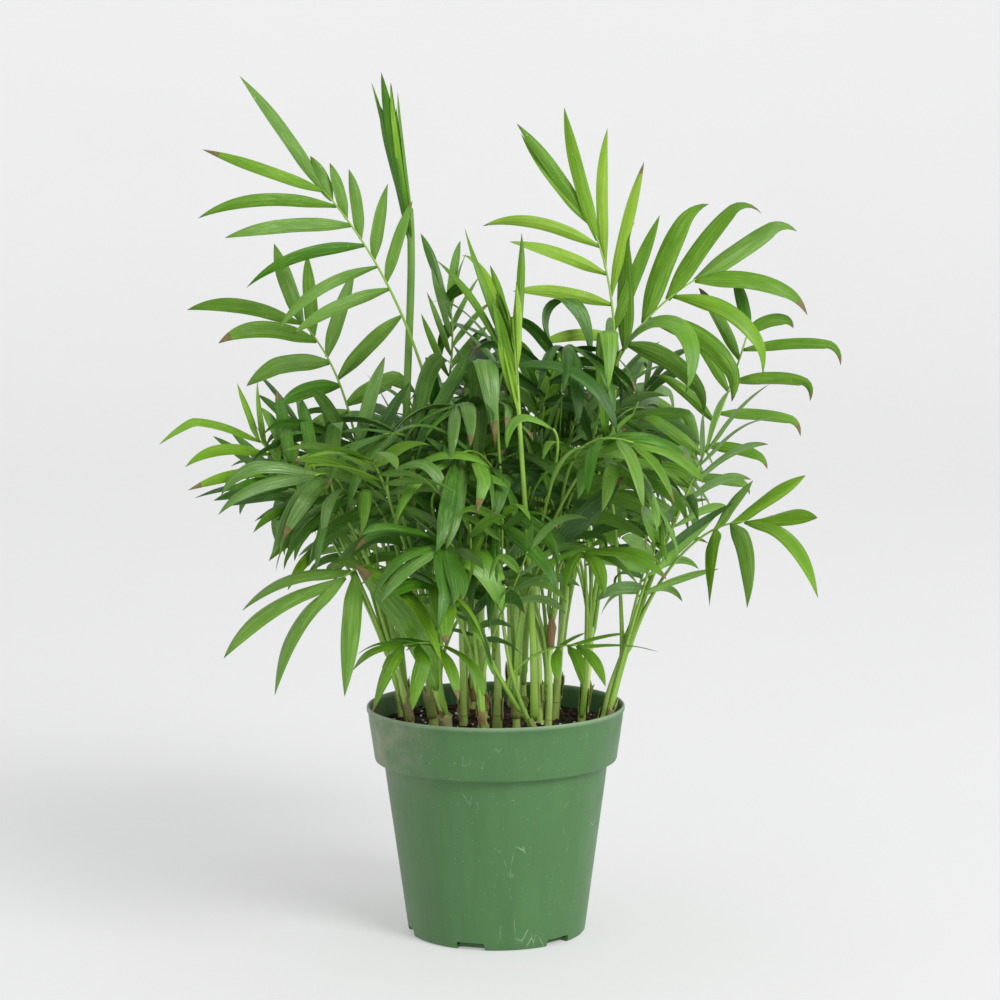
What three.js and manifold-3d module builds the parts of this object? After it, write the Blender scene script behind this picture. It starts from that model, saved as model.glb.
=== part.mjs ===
// A potted parlour palm: a clump of seedling stems in a round nursery pot, with arching pinnate fronds.
// Millimetres, +Z up, the origin in the middle of the pot's flat underside. +X is the clump's right
// and -Y its front. Every stem and every frond or small group of fronds is a closed solid of its own.
import * as THREE from "three";
import { mergeVertices } from "three/addons/utils/BufferGeometryUtils.js";
import Module from "manifold-3d";

const wasm = await Module();
wasm.setup();

// Driving sizes of the pot.
const potHeight = 135;
const rimRadius = 76;
const underRimRadius = 71.5; // the band's outer radius at its lower edge
const shoulderRadius = 66; // the wall just under the band
const footRadius = 52.2;
const bandDepth = 31;
const shoulderDrop = 3;
const innerRise = 1; // the same step inside, over the one outside
const wall = 1.8;
const floorThickness = 2;
const lipDepth = 2.5; // the rounded lip: its depth, and how far it stands out over the band
const lipStep = 0.8;
const lipRound = 0.4;
const notchCount = 6;
const notchWidth = 17;
const notchHeight = 4.4;
const notchReach = 7;
const firstNotchAngle = -107; // degrees about +Z, so two notches show from the front
const potSegments = 40;

// The potting mix fills the pot to just under the rim.
const mixTop = 124;
const clear = 0.3; // between any two pieces that touch on the real plant

// Stems and fronds.
const stemSides = 6;
const petioleSides = 3;
const petioleRadius = 1.6;
const ribRadius = 1.15; // the rachis at the frond's tip
const leafThickness = 0.0125; // of the leaflet's length
const leafRoot = 1.5; // width of a leaflet where it leaves the rachis
const fusedPart = 0.9; // how far fused petioles stand from their shared middle
const seam = 0.1; // slivers under this are merged away where leaflets join the rachis
const crownRing = [1.9, 2.4, 2.9]; // how far two, three or four feet stand from the crown's middle
const footGap = 1.2 * clear; // between a petiole's foot and the crown
const gravity = new THREE.Vector3(0, 0, -1);

// Repeatable chance: a linear congruential generator, one for each frond.
function makeDice(seed) {
  let state = (seed * 2654435761) >>> 0;
  const roll = () => {
    state = (Math.imul(state, 1664525) + 1013904223) >>> 0;
    return state / 4294967296;
  };
  roll();
  return (low, high) => low + (high - low) * roll();
}

const mix = (a, b, share) => a + (b - a) * share;
const vector = (list) => new THREE.Vector3(...list);

// A closed body through rings of points. A ring of one point is a pointed end.
function loft(rings) {
  const points = rings.flat();
  const starts = [];
  let count = 0;
  for (const ring of rings) {
    starts.push(count);
    count += ring.length;
  }
  const faces = [];
  for (let i = 0; i + 1 < rings.length; i++) {
    const [a, b] = [rings[i].length, rings[i + 1].length];
    for (let j = 0; j < Math.max(a, b); j++) {
      const [p, q] = [starts[i] + (j % a), starts[i] + ((j + 1) % a)];
      const [r, s] = [starts[i + 1] + (j % b), starts[i + 1] + ((j + 1) % b)];
      if (a > 1) faces.push(p, q, s);
      if (b > 1) faces.push(p, s, r);
    }
  }
  const last = rings.length - 1;
  for (let j = 1; j + 1 < rings[0].length; j++) {
    faces.push(starts[0], starts[0] + j + 1, starts[0] + j);
  }
  for (let j = 1; j + 1 < rings[last].length; j++) {
    faces.push(starts[last], starts[last] + j, starts[last] + j + 1);
  }
  return new wasm.Manifold(
    new wasm.Mesh({
      numProp: 3,
      vertProperties: new Float32Array(points.flatMap((p) => [p.x, p.y, p.z])),
      triVerts: new Uint32Array(faces),
    }),
  );
}

// A three.js geometry as a solid.
function solidOf(geometry) {
  const bare = geometry.clone();
  bare.deleteAttribute("normal");
  bare.deleteAttribute("uv");
  const merged = mergeVertices(bare, 1e-4);
  return new wasm.Manifold(
    new wasm.Mesh({
      numProp: 3,
      vertProperties: merged.attributes.position.array,
      triVerts: new Uint32Array(merged.index.array),
    }),
  );
}

function meshOf(name, solid, material) {
  const made = solid.getMesh();
  const geometry = new THREE.BufferGeometry()
    .setAttribute("position", new THREE.BufferAttribute(new Float32Array(made.vertProperties), 3))
    .setIndex(new THREE.BufferAttribute(new Uint32Array(made.triVerts), 1));
  geometry.computeVertexNormals();
  const mesh = new THREE.Mesh(geometry, material);
  mesh.name = name;
  return mesh;
}

const finish = (color, roughness) => new THREE.MeshStandardMaterial({ color, roughness, metalness: 0 });
const materials = {
  pot: finish(0x4f7d4c, 0.45),
  mix: finish(0x2e2018, 0.95),
  stem: finish(0x7fa348, 0.55),
  old: finish(0x2f6b22, 0.45),
  grown: finish(0x4a8c2c, 0.42),
  young: finish(0x7cb83a, 0.4),
};

// ---- The pot and its filling ----

function turned(profile) {
  const points = profile.map(([radius, height]) => new THREE.Vector2(radius, height));
  return solidOf(new THREE.LatheGeometry(points, potSegments).rotateX(Math.PI / 2));
}

function makePot() {
  const bandFoot = potHeight - bandDepth;
  const shoulder = bandFoot - shoulderDrop;
  const cup = turned([
    [0, 0],
    [footRadius, 0],
    [shoulderRadius, shoulder],
    [underRimRadius, bandFoot],
    [rimRadius - lipStep, potHeight - lipDepth],
    [rimRadius, potHeight - lipDepth + lipStep],
    [rimRadius - lipRound, potHeight],
    [rimRadius - wall, potHeight],
    [underRimRadius - wall, bandFoot + innerRise],
    [shoulderRadius - wall, shoulder + innerRise],
    [footRadius - wall, floorThickness],
    [0, floorThickness],
  ]);
  const cutters = [];
  for (let i = 0; i < notchCount; i++) {
    const angle = THREE.MathUtils.degToRad(firstNotchAngle + (i * 360) / notchCount);
    const box = new THREE.BoxGeometry(notchReach * 2, notchWidth, notchHeight * 2);
    box.translate(footRadius, 0, 0);
    cutters.push(solidOf(box.rotateZ(angle)));
  }
  return cup.subtract(wasm.Manifold.union(cutters));
}

function makeMix() {
  const bandFoot = potHeight - bandDepth;
  const shoulder = bandFoot - shoulderDrop;
  const bandSlope = (rimRadius - underRimRadius) / (bandDepth - lipDepth);
  const inset = wall + 2 * clear;
  const floor = Math.max(floorThickness, notchHeight) + clear;
  const footSlope = (shoulderRadius - footRadius) / shoulder;
  const step = bandFoot + innerRise + clear;
  return turned([
    [0, floor],
    [footRadius - inset + footSlope * floor, floor],
    [shoulderRadius - inset, shoulder + innerRise],
    [underRimRadius - inset, step],
    [underRimRadius - inset + bandSlope * (mixTop - step), mixTop],
    [0, mixTop],
  ]);
}

// ---- Stems: where each leaves the mix, and its crown, where the petioles part ----

const stems = [
  { foot: [63, -14], crown: [76, -19, 172], width: 7.4 },
  { foot: [51, 8], crown: [57, 8, 178], width: 4.6 },
  { foot: [54, 35], crown: [60, 42, 188], width: 4.0 },
  { foot: [30, -35], crown: [33, -37, 196], width: 4.9 },
  { foot: [26, 12], crown: [23, 8, 222], width: 5.2 },
  { foot: [35, 27], crown: [43, 26, 200], width: 5.6 },
  { foot: [12, -20], crown: [13, -26, 212], width: 4.6 },
  { foot: [16, 30], crown: [19, 34, 216], width: 5.0 },
  { foot: [24, -54], crown: [8, -57, 152], width: 4.6 },
  { foot: [1, -5], crown: [1, -8, 206], width: 5.4 },
  { foot: [-7, 21], crown: [-8, 22, 192], width: 4.4 },
  { foot: [-14, 46], crown: [-16, 54, 196], width: 4.6 },
  { foot: [-19, 3], crown: [-20, -2, 198], width: 4.7 },
  { foot: [-27, -40], crown: [-36, -46, 158], width: 5.8 },
  { foot: [-36, -14], crown: [-45, -17, 188], width: 5.4 },
  { foot: [-52, 11], crown: [-58, 12, 184], width: 4.7 },
  { foot: [-49, -20], crown: [-61, -27, 170], width: 5.0 },
  { foot: [-57, 32], crown: [-65, 40, 172], width: 4.2 },
  { foot: [37, 53], crown: [42, 66, 194], width: 4.5 },
  { foot: [9, 58], crown: [8, 70, 190], width: 4.2 },
  { foot: [-33, 43], crown: [-38, 54, 186], width: 4.6 },
  { foot: [-6, -57], crown: [-10, -62, 156], width: 4.8 },
];
const stemTaper = 0.66; // crown width over the width above the flare
const stemFlare = 1.2; // foot width over the same
const flareShare = 0.15; // of the stem, over which the flare runs out
const stemBow = 0.12; // how far a stem bows outwards, of its run

function stemCurve(stem) {
  const foot = new THREE.Vector3(...stem.foot, mixTop + clear);
  const crown = vector(stem.crown);
  const middle = foot.clone().lerp(crown, 0.5);
  middle.x -= (crown.x - foot.x) * stemBow;
  middle.y -= (crown.y - foot.y) * stemBow;
  return new THREE.QuadraticBezierCurve3(foot, middle, crown);
}

const stemRadius = (stem, share) =>
  (stem.width / 2) * mix(1, stemTaper, share) * mix(stemFlare, 1, Math.min(1, share / flareShare));

function ringAbout(centre, along, across, radius, sides) {
  const side = across.clone().addScaledVector(along, -across.dot(along)).normalize();
  const over = new THREE.Vector3().crossVectors(along, side);
  const ring = [];
  for (let j = 0; j < sides; j++) {
    const angle = (j / sides) * 2 * Math.PI;
    ring.push(
      centre
        .clone()
        .addScaledVector(side, radius * Math.cos(angle))
        .addScaledVector(over, radius * Math.sin(angle)),
    );
  }
  return ring;
}

function makeStem(stem) {
  const curve = stemCurve(stem);
  const east = new THREE.Vector3(1, 0, 0);
  const rings = [0, flareShare, 0.55, 1].map((share) => {
    const along = share === 0 ? new THREE.Vector3(0, 0, 1) : curve.getTangent(share);
    return ringAbout(curve.getPoint(share), along, east, stemRadius(stem, share), stemSides);
  });
  return loft(rings);
}

// ---- Fronds ----
// A frond leaves its stem's crown, climbs to bend and ends at tip, on one cubic curve. face is the way
// its upper side looks. Pairs below give the left and the right leaflets, seen from that side: spread is
// their angle from the rachis at its foot and at its tip, size their length over leaf, likewise. end
// gives spread, size and droop of the left and the right leaflet that end the frond.

// Where a solid leaflet is measured: step along it, and share of its full width. It ends in a point.
const fullStations = [
  [0, 0],
  [4, 0.98],
  [8, 0.84],
];
const plainStations = [
  [0, 0],
  [5, 1],
];

const shownFronds = [
  { name: "frond_top_left", stem: 13, lead: 110, bend: [-52, -20, 386], tip: [-98, -15, 437],
    face: [0.2, -1, 0.25], blade: 0.68, pairs: 5, leaf: 88, width: 9.5, spread: [[82, 36], [45, 6]],
    size: [[0.9, 0.95], [0.62, 0.28]], lift: 4, droop: [0.75, 0.2],
    end: [[31, 0.92, 0.12], [7, 0.98, 0.05]], tint: "grown" },
  { name: "spear_left", stem: 15, lead: 90, bend: [-43.5, -3, 370], tip: [-48.5, 0, 426], face: [0, -1, 0],
    blade: 0.93, pairs: 1, leaf: 84, width: 7, spread: [[6.5, 6.5], [-4, -4]],
    size: [[0.8, 0.97], [0.8, 0.93]], lift: 2, droop: [-0.05, -0.02], tint: "grown" },
  { name: "frond_left_upper", stem: 18, lead: 90, bend: [-78, 34, 320], tip: [-115, 50, 358],
    face: [0.3, -1, 0.6], blade: 0.62, pairs: 4, leaf: 62, width: 12.5, spread: [[84, 34], [72, 18]],
    size: [[0.7, 1.22], [0.95, 0.95]], lift: 8, droop: [0.8, 0.3], tint: "grown" },
  { name: "frond_back_left", stem: 21, lead: 80, bend: [-18, 66, 330], tip: [-27, 68, 368],
    face: [0.9, -0.6, 0.2], blade: 0.6, pairs: 5, leaf: 60, width: 8, spread: [[50, 16], [46, 16]],
    size: [[0.9, 0.9], [0.7, 0.7]], lift: 6, droop: [0.2, 0.2], stations: plainStations, tint: "old" },
  { name: "spear_middle", stem: 7, lead: 60, bend: [17, -62, 320], tip: [11, -60, 366],
    face: [0.1, -1, 0.1], blade: 0.7, pairs: 3, leaf: 64, width: 8, spread: [[30, 22], [8, 4]],
    size: [[1, 1], [0.6, 0.6]], lift: 4, droop: [0.6, 0.1], tint: "young" },
  { name: "frond_top_right", stem: 2, lead: 90, bend: [82, 2, 364], tip: [56, 10, 417],
    face: [0.1, -1, 0.1], blade: 0.66, pairs: 4, leaf: 92, width: 9.5, spread: [[76, 36], [26, -6]],
    size: [[0.6, 0.85], [0.92, 0.84]], lift: 4, droop: [0.55, 0.12],
    end: [[13, 0.78, 0.25], [-9, 0.85, 0.1]], tint: "young" },
  { name: "frond_upper_right", stem: 6, lead: 105, bend: [60, -8, 349], tip: [119, 14, 384],
    face: [-0.1, -1, 0.4], blade: 0.66, pairs: 3, leaf: 96, width: 15, spread: [[30, 10], [66, 34]],
    size: [[0.9, 1], [0.8, 0.85]], lift: 4, droop: [0.4, 1.9], end: [[0, 0.86, 0.2], [32, 0.8, 1.2]],
    tint: "grown" },
  { name: "frond_far_right", stem: 1, lead: 45, bend: [130, 8, 290], tip: [150, 22, 354],
    face: [0.1, -1, 0.5], blade: 0.54, pairs: 5, leaf: 68, width: 10.5, spread: [[84, 30], [66, 66]],
    size: [[0.75, 0.8], [0.6, 1.08]], lift: 6, droop: [0.5, 0.5], end: [[28, 0.6, 0.5], [40, 0.5, 1.4]],
    tint: "grown" },
  { name: "frond_low_right", stem: 1, lead: 30, bend: [108, -50, 248], tip: [142, -62, 250],
    face: [0.1, -0.5, 1], blade: 0.8, pairs: 2, leaf: 66, width: 14, spread: [[60, -10], [80, 30]],
    size: [[0.75, 0.9], [1.06, 1.2]], lift: 10, droop: [0.3, 2.2], end: [[-17, 0.9, 0.2], [34, 1.3, 2]],
    tint: "grown" },
  { name: "frond_left_middle", stem: 17, lead: 40, bend: [-104, -34, 262], tip: [-134, -36, 295],
    face: [0.3, -0.6, 1], blade: 0.52, pairs: 6, leaf: 75, width: 8, spread: [[88, 42], [72, 26]],
    size: [[0.8, 1.1], [0.6, 0.55]], lift: 8, droop: [0.5, 0.1], tint: "grown" },
  { name: "frond_left_back", stem: 16, lead: 40, bend: [-98, 6, 256], tip: [-128, 2, 266],
    face: [0.2, -0.7, 1], blade: 0.52, pairs: 6, leaf: 62, width: 8, spread: [[66, 28], [72, 28]],
    size: [[0.6, 1], [0.8, 0.8]], lift: 4, droop: [0.5, 0.4], stations: plainStations, tint: "old" },
  { name: "frond_low_left", stem: 14, lead: 40, bend: [-50, -88, 248], tip: [-83, -112, 226],
    face: [0, -0.3, 1], blade: 0.86, pairs: 2, leaf: 94, width: 15, spread: [[94, 2], [96, 26]],
    size: [[1, 1], [0.6, 1]], lift: 2, droop: [1.8, 1.3], end: [[3, 1, 1.7], [28, 1, 0.8]], tint: "grown" },
  { name: "frond_left_front", stem: 15, lead: 45, bend: [-60, -84, 276], tip: [-66, -126, 292],
    face: [0, -0.8, 1], blade: 0.6, pairs: 5, leaf: 62, width: 10, spread: [[74, 26], [76, 26]],
    size: [[1, 1], [1, 1]], lift: 10, droop: [1.1, 1.1], tint: "grown" },
  { name: "frond_front_middle", stem: 4, lead: 60, bend: [32, -108, 314], tip: [76, -122, 300],
    face: [0, -0.3, 1], blade: 0.6, pairs: 4, leaf: 58, width: 10.5, spread: [[80, 24], [84, 24]],
    size: [[0.8, 0.9], [0.9, 0.9]], lift: 0, droop: [1.2, 2.2], tint: "grown" },
  { name: "frond_front_low", stem: 9, lead: 18, bend: [-16, -92, 212], tip: [-30, -124, 222],
    face: [0, -0.6, 1], blade: 0.66, pairs: 3, leaf: 60, width: 17, spread: [[110, 30], [70, 40]],
    size: [[0.7, 1.1], [0.8, 0.7]], lift: 2, droop: [2.2, 1.7], tint: "grown" },
  { name: "frond_front_right", stem: 4, lead: 30, bend: [38, -88, 238], tip: [50, -100, 238],
    face: [0, -0.3, 1], blade: 0.8, pairs: 2, leaf: 54, width: 9.5, spread: [[74, 26], [74, 26]],
    size: [[0.7, 1.1], [0.7, 0.9]], lift: 2, droop: [1.1, 1.4], tint: "grown" },
  { name: "frond_front_left", stem: 22, lead: 20, bend: [-26, -100, 192], tip: [-50, -134, 192],
    face: [0, -0.4, 1], blade: 0.62, pairs: 3, leaf: 58, width: 12, spread: [[80, 20], [80, 20]],
    size: [[0.8, 1.1], [0.5, 0.7]], lift: 2, droop: [2.2, 1.3], tint: "grown" },
  { name: "frond_low_front", node: "frond_front_low", stem: 9, lead: 12, bend: [26, -74, 184],
    tip: [46, -88, 184], face: [0, -0.3, 1], blade: 0.8, pairs: 2, leaf: 52, width: 8.5,
    spread: [[40, 22], [60, 30]], size: [[0.45, 1.05], [0.7, 0.9]], lift: 4, droop: [0.35, 1.7],
    tint: "grown" },
];

// The fronds in and behind the clump, by rule. Those of one stem are fused where they part.
const innerFronds = {
  reach: [38, 98], // youngest and oldest
  rise: [142, 34],
  arch: [0, 26],
  turn: 10, // degrees either way from the heading
  lead: 0.5, // of the rise
  bend: 0.45, // of the reach
  lean: 0.5, // how far the upper side looks back to the clump
  roll: 0.95,
  blade: 0.55,
  pairs: 4,
  leaf: [58, 74],
  width: [10.5, 13],
  spread: [[66, 22], [66, 22]],
  size: [[1, 1], [1, 1]],
  lift: -8,
  droop: [0.5, 2.2],
};
// Stem, heading in degrees about +Z from +X, and age from 0 (young and upright) to 1 (old and low).
const innerPlaces = [
  [2, 50, 0.25], [3, 70, 0.6], [4, 300, 0.5], [5, 290, 0.15], [5, 80, 0.8], [6, 30, 0.35], [7, 240, 0.6],
  [8, 120, 0.1], [8, 10, 0.75], [10, 250, 0.3], [10, 170, 0.72], [11, 100, 0.2], [11, 20, 0.7],
  [12, 80, 0.15], [12, 150, 0.65], [13, 215, 0.4], [13, 280, 0.8], [15, 190, 0.3], [15, 235, 0.6],
  [16, 150, 0.5], [17, 230, 0.32], [18, 140, 0.5], [19, 40, 0.2], [19, 95, 0.8], [20, 75, 0.6],
  [21, 105, 0.3], [21, 165, 0.6], [22, 250, 0.5],
];

// Where each run of chance starts.
const firstInnerSeed = 100;
const wayFirstSeed = 500;
const placeFirstSeed = 900;

// The frond's line, and the frame of directions along it.
function frondLine(frond) {
  const stem = stems[frond.stem - 1];
  const curve = stemCurve(stem);
  const climb = curve.getTangent(1);
  const crown = curve.getPoint(1);
  const seat = frond.seat.clone().addScaledVector(climb, footGap - frond.seat.dot(climb));
  const start = crown.clone().add(seat);
  const lead = start.clone().addScaledVector(climb, frond.lead);
  return new THREE.CubicBezierCurve3(start, lead, vector(frond.bend), vector(frond.tip));
}

function frameAt(line, face, share) {
  const along = line.getTangent(share);
  const up = face.clone().addScaledVector(along, -face.dot(along)).normalize();
  return { point: line.getPoint(share), along, up, side: new THREE.Vector3().crossVectors(along, up) };
}

// The middle line of a leaflet: it sets off along start and gravity bends it down, step by step.
const leafSteps = 12;
const sagAtRoot = 0.35; // how much of its droop a leaflet shows at its root, and how much more at its tip
const sagGrowth = 1.3;
function leafLine(root, start, up, length, droop) {
  const points = [root.clone()];
  const frames = [];
  const along = start.clone();
  const point = root.clone();
  const top = up.clone();
  for (let i = 0; i < leafSteps; i++) {
    top.addScaledVector(along, -top.dot(along)).normalize();
    frames.push({ along: along.clone(), up: top.clone() });
    point.addScaledVector(along, length / leafSteps);
    points.push(point.clone());
    const sag = (droop * (sagAtRoot + (sagGrowth * i) / leafSteps)) / leafSteps;
    along.addScaledVector(gravity, sag).normalize();
  }
  top.addScaledVector(along, -top.dot(along)).normalize();
  frames.push({ along: along.clone(), up: top.clone() });
  return { points, frames };
}

// The solid leaflet: a flat three-sided blade, widest past its middle.
function makeLeaf(leaf, grow = 0) {
  const { points, frames } = leafLine(leaf.root, leaf.start, leaf.up, leaf.length, leaf.droop);
  const thickness = leafThickness * leaf.length;
  const rings = leaf.stations.map(([step, share]) => {
    const { along, up } = frames[step];
    const across = new THREE.Vector3().crossVectors(along, up);
    const half = Math.max(share * leaf.width, leafRoot) / 2 + grow;
    const rise = thickness + grow;
    return [
      points[step].clone().addScaledVector(across, -half).addScaledVector(up, -grow),
      points[step].clone().addScaledVector(up, rise),
      points[step].clone().addScaledVector(across, half).addScaledVector(up, -grow),
    ];
  });
  rings.push([points[leafSteps]]);
  return loft(rings);
}

// The solid rachis is straight between these shares of the line, and the leaflets sit on it.
const ribShares = [0, 0.16, 0.36, 0.57, 0.78, 1];
function onRib(line, share) {
  const next = ribShares.findIndex((stop) => stop >= share);
  const [low, high] = [ribShares[next - 1], ribShares[next]];
  return line.getPoint(low).lerp(line.getPoint(high), (share - low) / (high - low));
}

// Where a frond's leaflets stand: pairs along the blade, and two that end it.
const pairOffset = 0.06; // of the blade, from a left leaflet to the right one
const endShare = 0.99;
const chance = {
  spread: [0.92, 1.08],
  lift: [-0.2, 2.2],
  length: [0.92, 1.05],
  width: [0.88, 1.08],
  droop: [0.75, 1.25],
};
function leavesOf(frond, line) {
  const dice = makeDice(frond.seed);
  const face = vector(frond.face);
  const leaves = [];
  for (let i = 0; i <= frond.pairs; i++) {
    const u = i / frond.pairs;
    for (const hand of [0, 1]) {
      const last = i === frond.pairs;
      const share = last ? endShare : mix(frond.blade, 1, u + hand * pairOffset);
      const { along, up, side } = frameAt(line, face, share);
      let turn = mix(...frond.spread[hand], u);
      let size = mix(...frond.size[hand], u);
      let droop = frond.droop[hand];
      if (last && frond.end) [turn, size, droop] = frond.end[hand];
      const spread = THREE.MathUtils.degToRad(turn * dice(...chance.spread));
      const lift = THREE.MathUtils.degToRad(frond.lift * dice(...chance.lift));
      const out = side.clone().multiplyScalar(hand ? 1 : -1);
      const start = along.clone().multiplyScalar(Math.cos(spread)).addScaledVector(out, Math.sin(spread));
      start.multiplyScalar(Math.cos(lift)).addScaledVector(up, Math.sin(lift)).normalize();
      const fullness = 0.8 + 0.2 * Math.sin(Math.PI * (0.15 + 0.6 * u)); // longest past the middle
      leaves.push({
        root: onRib(line, share),
        start,
        up,
        length: frond.leaf * fullness * size * dice(...chance.length),
        width: frond.width * dice(...chance.width),
        droop: droop * dice(...chance.droop),
        stations: frond.stations ?? fullStations,
      });
    }
  }
  return leaves;
}

// ---- Building: nothing may touch what is already there ----

const placed = []; // { solid, box, group }

function boxOf(solid) {
  const { min, max } = solid.boundingBox();
  return new THREE.Box3(vector(min), vector(max));
}

function touches(solid, group) {
  const box = boxOf(solid);
  const near = placed.filter((other) => other.group !== group && other.box.intersectsBox(box));
  return near.some((other) => !solid.intersect(other.solid).isEmpty());
}

function place(solid, group) {
  placed.push({ solid, box: boxOf(solid), group });
}

// The petiole and rachis. The side it shows at its tip is carried down to its foot, so it never twists.
function makeRib(line, face, grow = 0) {
  const { side } = frameAt(line, face, 1);
  const rings = ribShares.map((share) => {
    const along = line.getTangent(share);
    const up = new THREE.Vector3().crossVectors(side, along);
    const radius = mix(petioleRadius, ribRadius, share) + grow;
    return ringAbout(line.getPoint(share), along, up, radius, petioleSides);
  });
  return loft(rings);
}

// A petiole that would cross another piece is led round it by a few millimetres, more with each try.
const wayTries = 240;
const slackStep = 0.1;
const leadSlack = 0.01; // of the lead, for each millimetre
const tipSlack = 0.4;
const seatSwing = 0.5; // radians round the crown, in the later tries
function clearLine(frond, group) {
  const dice = makeDice(frond.seed + wayFirstSeed);
  const face = vector(frond.face);
  for (let attempt = 0; attempt < wayTries; attempt++) {
    const slack = attempt * slackStep;
    const moved = {
      ...frond,
      lead: frond.lead * dice(1 - leadSlack * slack, 1 + leadSlack * slack),
      bend: frond.bend.map((c) => c + dice(-1, 1) * slack),
      tip: frond.tip.map((c) => c + dice(-tipSlack, tipSlack) * slack),
    };
    if (attempt > wayTries / 2) {
      moved.seat = frond.seat.clone().applyAxisAngle(gravity, -dice(-seatSwing, seatSwing));
    }
    const line = frondLine(moved);
    if (!touches(makeRib(line, face, clear), group)) return { frond: moved, line };
  }
  throw new Error(frond.name + " finds no way through the clump");
}

// A leaflet that would touch another piece is turned about its root, or left out.
const leafTries = [0, 14, -14, 28, -28, 42]; // degrees
function clearLeaf(leaf, group) {
  const axis = new THREE.Vector3().crossVectors(leaf.start, leaf.up);
  for (const turn of leafTries) {
    const angle = THREE.MathUtils.degToRad(turn);
    const start = leaf.start.clone().applyAxisAngle(axis, angle);
    const swung = { ...leaf, start, up: leaf.up.clone().applyAxisAngle(axis, angle) };
    if (!touches(makeLeaf(swung, clear), group)) return swung;
  }
  return null;
}

const plant = new THREE.Group();
plant.add(meshOf("pot", makePot(), materials.pot));
plant.add(meshOf("potting_mix", makeMix(), materials.mix));

stems.forEach((stem, i) => {
  const name = "stem_" + String(i + 1).padStart(2, "0");
  const solid = makeStem(stem);
  place(solid, name);
  plant.add(meshOf(name, solid, materials.stem));
});

// The shown fronds, and after them the inner ones.
const fronds = shownFronds.map((frond, i) => ({ node: frond.name, ...frond, seed: i + 1 }));
innerPlaces.forEach(([number, heading, age], i) => {
  const dice = makeDice(placeFirstSeed + i);
  const { crown } = stems[number - 1];
  const angle = THREE.MathUtils.degToRad(heading + dice(-innerFronds.turn, innerFronds.turn));
  const out = [Math.cos(angle), Math.sin(angle)];
  const reach = mix(...innerFronds.reach, age);
  const rise = mix(...innerFronds.rise, age);
  const height = crown[2] + rise;
  fronds.push({
    name: "inner_" + (i + 1),
    node: "inner_fronds_" + String(number).padStart(2, "0"),
    stem: number,
    seed: firstInnerSeed + i,
    lead: rise * innerFronds.lead,
    bend: [
      crown[0] + out[0] * reach * innerFronds.bend,
      crown[1] + out[1] * reach * innerFronds.bend,
      height + mix(...innerFronds.arch, age),
    ],
    tip: [crown[0] + out[0] * reach, crown[1] + out[1] * reach, height],
    face: [...out.map((c) => dice(-innerFronds.roll, innerFronds.roll) - c * innerFronds.lean), 1],
    blade: innerFronds.blade,
    pairs: innerFronds.pairs,
    leaf: dice(...innerFronds.leaf),
    width: dice(...innerFronds.width),
    spread: innerFronds.spread,
    size: innerFronds.size,
    lift: innerFronds.lift,
    droop: [dice(...innerFronds.droop), dice(...innerFronds.droop)],
    stations: plainStations,
    tint: "old",
  });
});

// A frond's foot sits over its stem's crown. The nodes of one stem stand round the crown, each on the
// side its own fronds lean to.
stems.forEach((stem, i) => {
  const own = fronds.filter((frond) => frond.stem === i + 1);
  const lean = (frond) => Math.atan2(frond.tip[1] - stem.crown[1], frond.tip[0] - stem.crown[0]);
  const nodes = [...new Set(own.map((frond) => frond.node))];
  const leans = nodes.map((node) => lean(own.find((frond) => frond.node === node)));
  const order = nodes.map((node, k) => k).sort((a, b) => leans[a] - leans[b]);
  for (const frond of own) {
    const slot = order.indexOf(nodes.indexOf(frond.node));
    const angle = leans[order[0]] + (slot * 2 * Math.PI) / nodes.length;
    const off = nodes.length > 1 ? crownRing[nodes.length - 2] : 0;
    frond.seat = new THREE.Vector3(Math.cos(angle) * off, Math.sin(angle) * off, 0);
    const twins = own.filter((other) => other.node === frond.node).length > 1;
    const part = twins ? fusedPart : 0;
    frond.seat.x += Math.cos(lean(frond)) * part;
    frond.seat.y += Math.sin(lean(frond)) * part;
  }
});

const grown = fronds.map((frond) => {
  const found = clearLine(frond, frond.node);
  const rib = makeRib(found.line, vector(frond.face));
  place(rib, frond.node);
  return { ...found.frond, line: found.line, solids: [rib] };
});
for (const frond of grown) {
  for (const wanted of leavesOf(frond, frond.line)) {
    const leaf = clearLeaf(wanted, frond.node);
    if (!leaf) continue;
    const solid = makeLeaf(leaf);
    place(solid, frond.node);
    frond.solids.push(solid);
  }
}
for (const node of new Set(grown.map((frond) => frond.node))) {
  const members = grown.filter((frond) => frond.node === node);
  const solid = wasm.Manifold.union(members.flatMap((frond) => frond.solids)).simplify(seam);
  plant.add(meshOf(node, solid, materials[members[0].tint]));
}

export default plant;
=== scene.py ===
import math
from itertools import product
import bpy
import numpy as np
from mathutils import Matrix, Vector
from mathutils.bvhtree import BVHTree


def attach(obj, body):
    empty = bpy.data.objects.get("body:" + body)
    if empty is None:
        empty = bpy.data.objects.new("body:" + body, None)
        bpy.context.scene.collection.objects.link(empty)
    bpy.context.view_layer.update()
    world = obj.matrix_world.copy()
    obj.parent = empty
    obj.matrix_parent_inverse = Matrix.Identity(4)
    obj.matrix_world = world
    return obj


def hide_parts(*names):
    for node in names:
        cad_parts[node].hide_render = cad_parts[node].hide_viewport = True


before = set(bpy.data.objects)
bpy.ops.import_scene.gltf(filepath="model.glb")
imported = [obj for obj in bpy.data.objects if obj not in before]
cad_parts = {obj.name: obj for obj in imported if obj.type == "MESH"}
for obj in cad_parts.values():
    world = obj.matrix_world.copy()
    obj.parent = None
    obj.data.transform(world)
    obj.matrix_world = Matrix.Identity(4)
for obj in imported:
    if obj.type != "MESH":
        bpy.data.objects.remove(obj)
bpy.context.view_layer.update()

# The plant's own numbers are millimetres, as in the part's source. Meshes are metres.
mm = 0.001
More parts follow.
